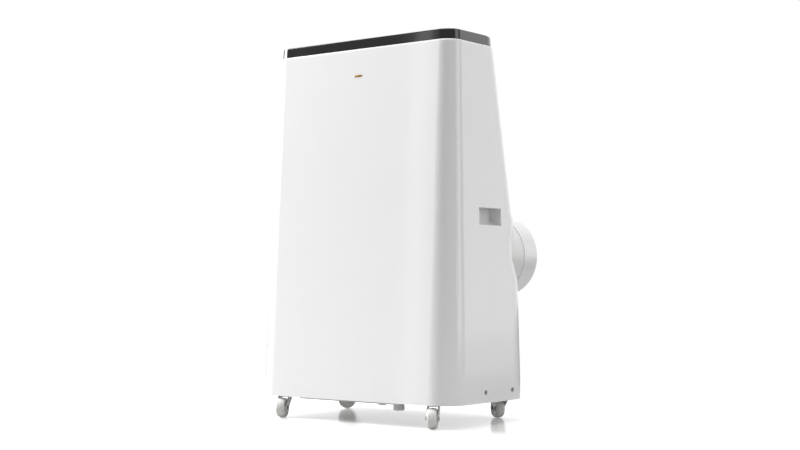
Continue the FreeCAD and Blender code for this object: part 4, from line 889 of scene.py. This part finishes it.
@dataclass
class Panel:
    """A soft light panel aimed at the cabinet.

    Attributes:
        name: Light name.
        azimuth: Degrees round the cabinet, 0 in front and 90 at its right.
        height: Height of its centre in metres.
        distance: Metres from the cabinet.
        width: Panel width in metres.
        rise: Panel height in metres.
        power: Watts.
        target: Height that it looks at.
    """

    name: str
    azimuth: float
    height: float
    distance: float
    width: float
    rise: float
    power: float
    target: float = 0.4

    def build(self) -> None:
        """Add the light."""
        data = bpy.data.lights.new(self.name, "AREA")
        data.shape = "RECTANGLE"
        data.size = self.width
        data.size_y = self.rise
        data.energy = self.power
        lamp = bpy.data.objects.new(self.name, data)
        bpy.context.scene.collection.objects.link(lamp)
        angle = math.radians(self.azimuth)
        lamp.location = (
            self.distance * math.sin(angle), -self.distance * math.cos(angle), self.height
        )
        aim = Vector((0, 0, self.target)) - lamp.location
        lamp.rotation_euler = aim.to_track_quat("-Z", "Y").to_euler()


@dataclass
class Studio:
    """Camera, floor, sky and lights.

    Attributes:
        camera_x: Camera's place across the cabinet, in metres.
        camera_back: How far it stands in front of the casing, in metres.
        camera_z: Its height in metres.
        heading: Degrees it looks to the left of straight on.
        pitch: Degrees it looks up.
        lens_mm: Focal length on the sensor below.
        sensor_mm: Sensor width.
        clip_m: Farthest distance it sees.
        near_m: Radius of the floor that shows shadows in full.
        far_m: Radius where the floor has faded to white.
        floor_half_m: Half the floor's side.
        floor_drop_m: How far the floor lies below the wheels.
        floor_glow: Light the near floor gives off.
        floor_gloss: Roughness of the near floor.
        floor_ior: Index of refraction of the near floor.
        bounce: Light the far floor throws on the cabinet.
        floor_grey: Paint of the near floor as the cabinet sees it.
        room_edge: Where the dim room starts turning into the sweep.
        sweep_edge: Where the sweep is reached.
        sweep: Brightness of the sweep.
        sky: Brightness of the room.
        panels: Lights.
    """

    camera_x: float = 1.7985
    camera_back: float = 2.1566
    camera_z: float = 0.2818
    heading: float = 37.7
    pitch: float = 2.2
    lens_mm: float = 63.9225
    sensor_mm: float = 36.0
    clip_m: float = 60.0
    near_m: float = 0.55
    far_m: float = 1.3
    floor_half_m: float = 20.0
    floor_drop_m: float = 0.0002
    floor_glow: float = 0.08
    floor_gloss: float = 0.16
    floor_ior: float = 1.4
    bounce: float = 0.2
    floor_grey: float = 0.4
    room_edge: float = 0.0
    sweep_edge: float = 0.4
    sweep: float = 1.1
    sky: float = 0.4
    panels: tuple[Panel, ...] = (
        Panel("key_left", -70, 1.9, 3.2, 1.8, 2.4, 196, 0.55),
        Panel("top_soft", 20, 3.4, 0.8, 2.4, 2.2, 50, 0.0),
        Panel("strip_right", 104, 1.4, 2.8, 1.2, 2.6, 17),
        Panel("side_right", 141.7, 1.1, 2.74, 0.7, 2.6, 4),
        Panel("line_front", -29.7, 0.8, 1.53, 0.05, 2.0, 0.5),
    )

    def build(self) -> None:
        """Make the whole stage."""
        self.camera()
        self.floor()
        self.world()
        for panel in self.panels:
            panel.build()
        view = bpy.context.scene.view_settings
        view.view_transform = "Standard"

    def camera(self) -> None:
        """Stand the camera below the middle of the cabinet, to its front right."""
        data = bpy.data.cameras.new("camera")
        data.sensor_width = self.sensor_mm
        data.lens = self.lens_mm
        data.clip_end = self.clip_m
        eye = bpy.data.objects.new("camera", data)
        bpy.context.scene.collection.objects.link(eye)
        eye.location = (self.camera_x, CAD_FRONT - self.camera_back, self.camera_z)
        eye.rotation_euler = (math.radians(90 + self.pitch), 0, math.radians(self.heading))
        bpy.context.scene.camera = eye

    def floor(self) -> None:
        """A wide pale floor with a faint gloss."""
        shape = bmesh.new()
        bmesh.ops.create_grid(shape, x_segments=2, y_segments=2, size=self.floor_half_m)
        bmesh.ops.translate(shape, vec=(0, 0, -self.floor_drop_m), verts=shape.verts)
        mesh = bpy.data.meshes.new("floor")
        shape.to_mesh(mesh)
        shape.free()
        ground = bpy.data.objects.new("floor", mesh)
        bpy.context.scene.collection.objects.link(ground)
        material = bpy.data.materials.new("studio_floor")
        material.use_nodes = True
        tree = material.node_tree
        tree.nodes.clear()
        point = add_node(tree, "ShaderNodeTexCoord").outputs["Object"]
        reach = add_node(tree, "ShaderNodeVectorMath", {0: point}, operation="LENGTH")
        far = add_node(
            tree, "ShaderNodeMapRange",
            {"Value": reach.outputs["Value"], "From Min": self.near_m, "From Max": self.far_m,
             "To Min": 0.0, "To Max": 1.0},
            interpolation_type="SMOOTHSTEP",
        )
        paint = self.seen_or_lit(tree, self.floor_grey)
        near = add_node(
            tree, "ShaderNodeBsdfPrincipled",
            {"Base Color": paint, "Roughness": self.floor_gloss, "IOR": self.floor_ior,
             "Emission Color": WHITE, "Emission Strength": self.floor_glow},
        )
        glow = self.seen_or_lit(tree, self.bounce)
        white = add_node(tree, "ShaderNodeEmission", {"Color": WHITE, "Strength": glow})
        both = add_node(
            tree, "ShaderNodeMixShader",
            {0: far.outputs["Result"], 1: near.outputs["BSDF"], 2: white.outputs["Emission"]},
        )
        add_node(tree, "ShaderNodeOutputMaterial", {"Surface": both.outputs["Shader"]})
        mesh.materials.append(material)

    def seen_or_lit(self, tree: bpy.types.NodeTree, lit: Any) -> bpy.types.NodeSocket:
        """White where the backdrop is seen directly, and another level where it lights things.

        Args:
            tree: Node tree to add to.
            lit: Level, or the socket that gives it, for light that falls on things.

        Returns:
            A strength socket.
        """
        path = add_node(tree, "ShaderNodeLightPath")
        level = add_node(
            tree, "ShaderNodeMapRange",
            {"Value": path.outputs["Is Camera Ray"], "To Min": lit, "To Max": 1.0},
        )
        return level.outputs["Result"]

    def world(self) -> None:
        """A white sweep behind the cabinet and a dim room in front of it."""
        world = bpy.data.worlds.new("studio")
        world.use_nodes = True
        tree = world.node_tree
        tree.nodes.clear()
        way = add_node(tree, "ShaderNodeTexCoord").outputs["Generated"]
        turn = math.radians(self.heading)
        behind = add_node(
            tree, "ShaderNodeVectorMath", {0: way, 1: (-math.sin(turn), math.cos(turn), 0.0)},
            operation="DOT_PRODUCT",
        )
        room = add_node(
            tree, "ShaderNodeMapRange",
            {"Value": behind.outputs["Value"], "From Min": self.room_edge,
             "From Max": self.sweep_edge, "To Min": self.sky, "To Max": self.sweep},
        )
        strength = self.seen_or_lit(tree, room.outputs["Result"])
        sky = add_node(tree, "ShaderNodeBackground", {"Color": WHITE, "Strength": strength})
        add_node(tree, "ShaderNodeOutputWorld", {"Surface": sky.outputs["Background"]})
        bpy.context.scene.world = world


def main() -> None:
    """Build every sub-assembly in order."""
    logging.basicConfig(level=logging.INFO, format="%(message)s")
    Cabinet().build()
    TopDeck().build()
    Casters().build()
    Works().build()
    Studio().build()


if __name__ == "__main__":
    main()
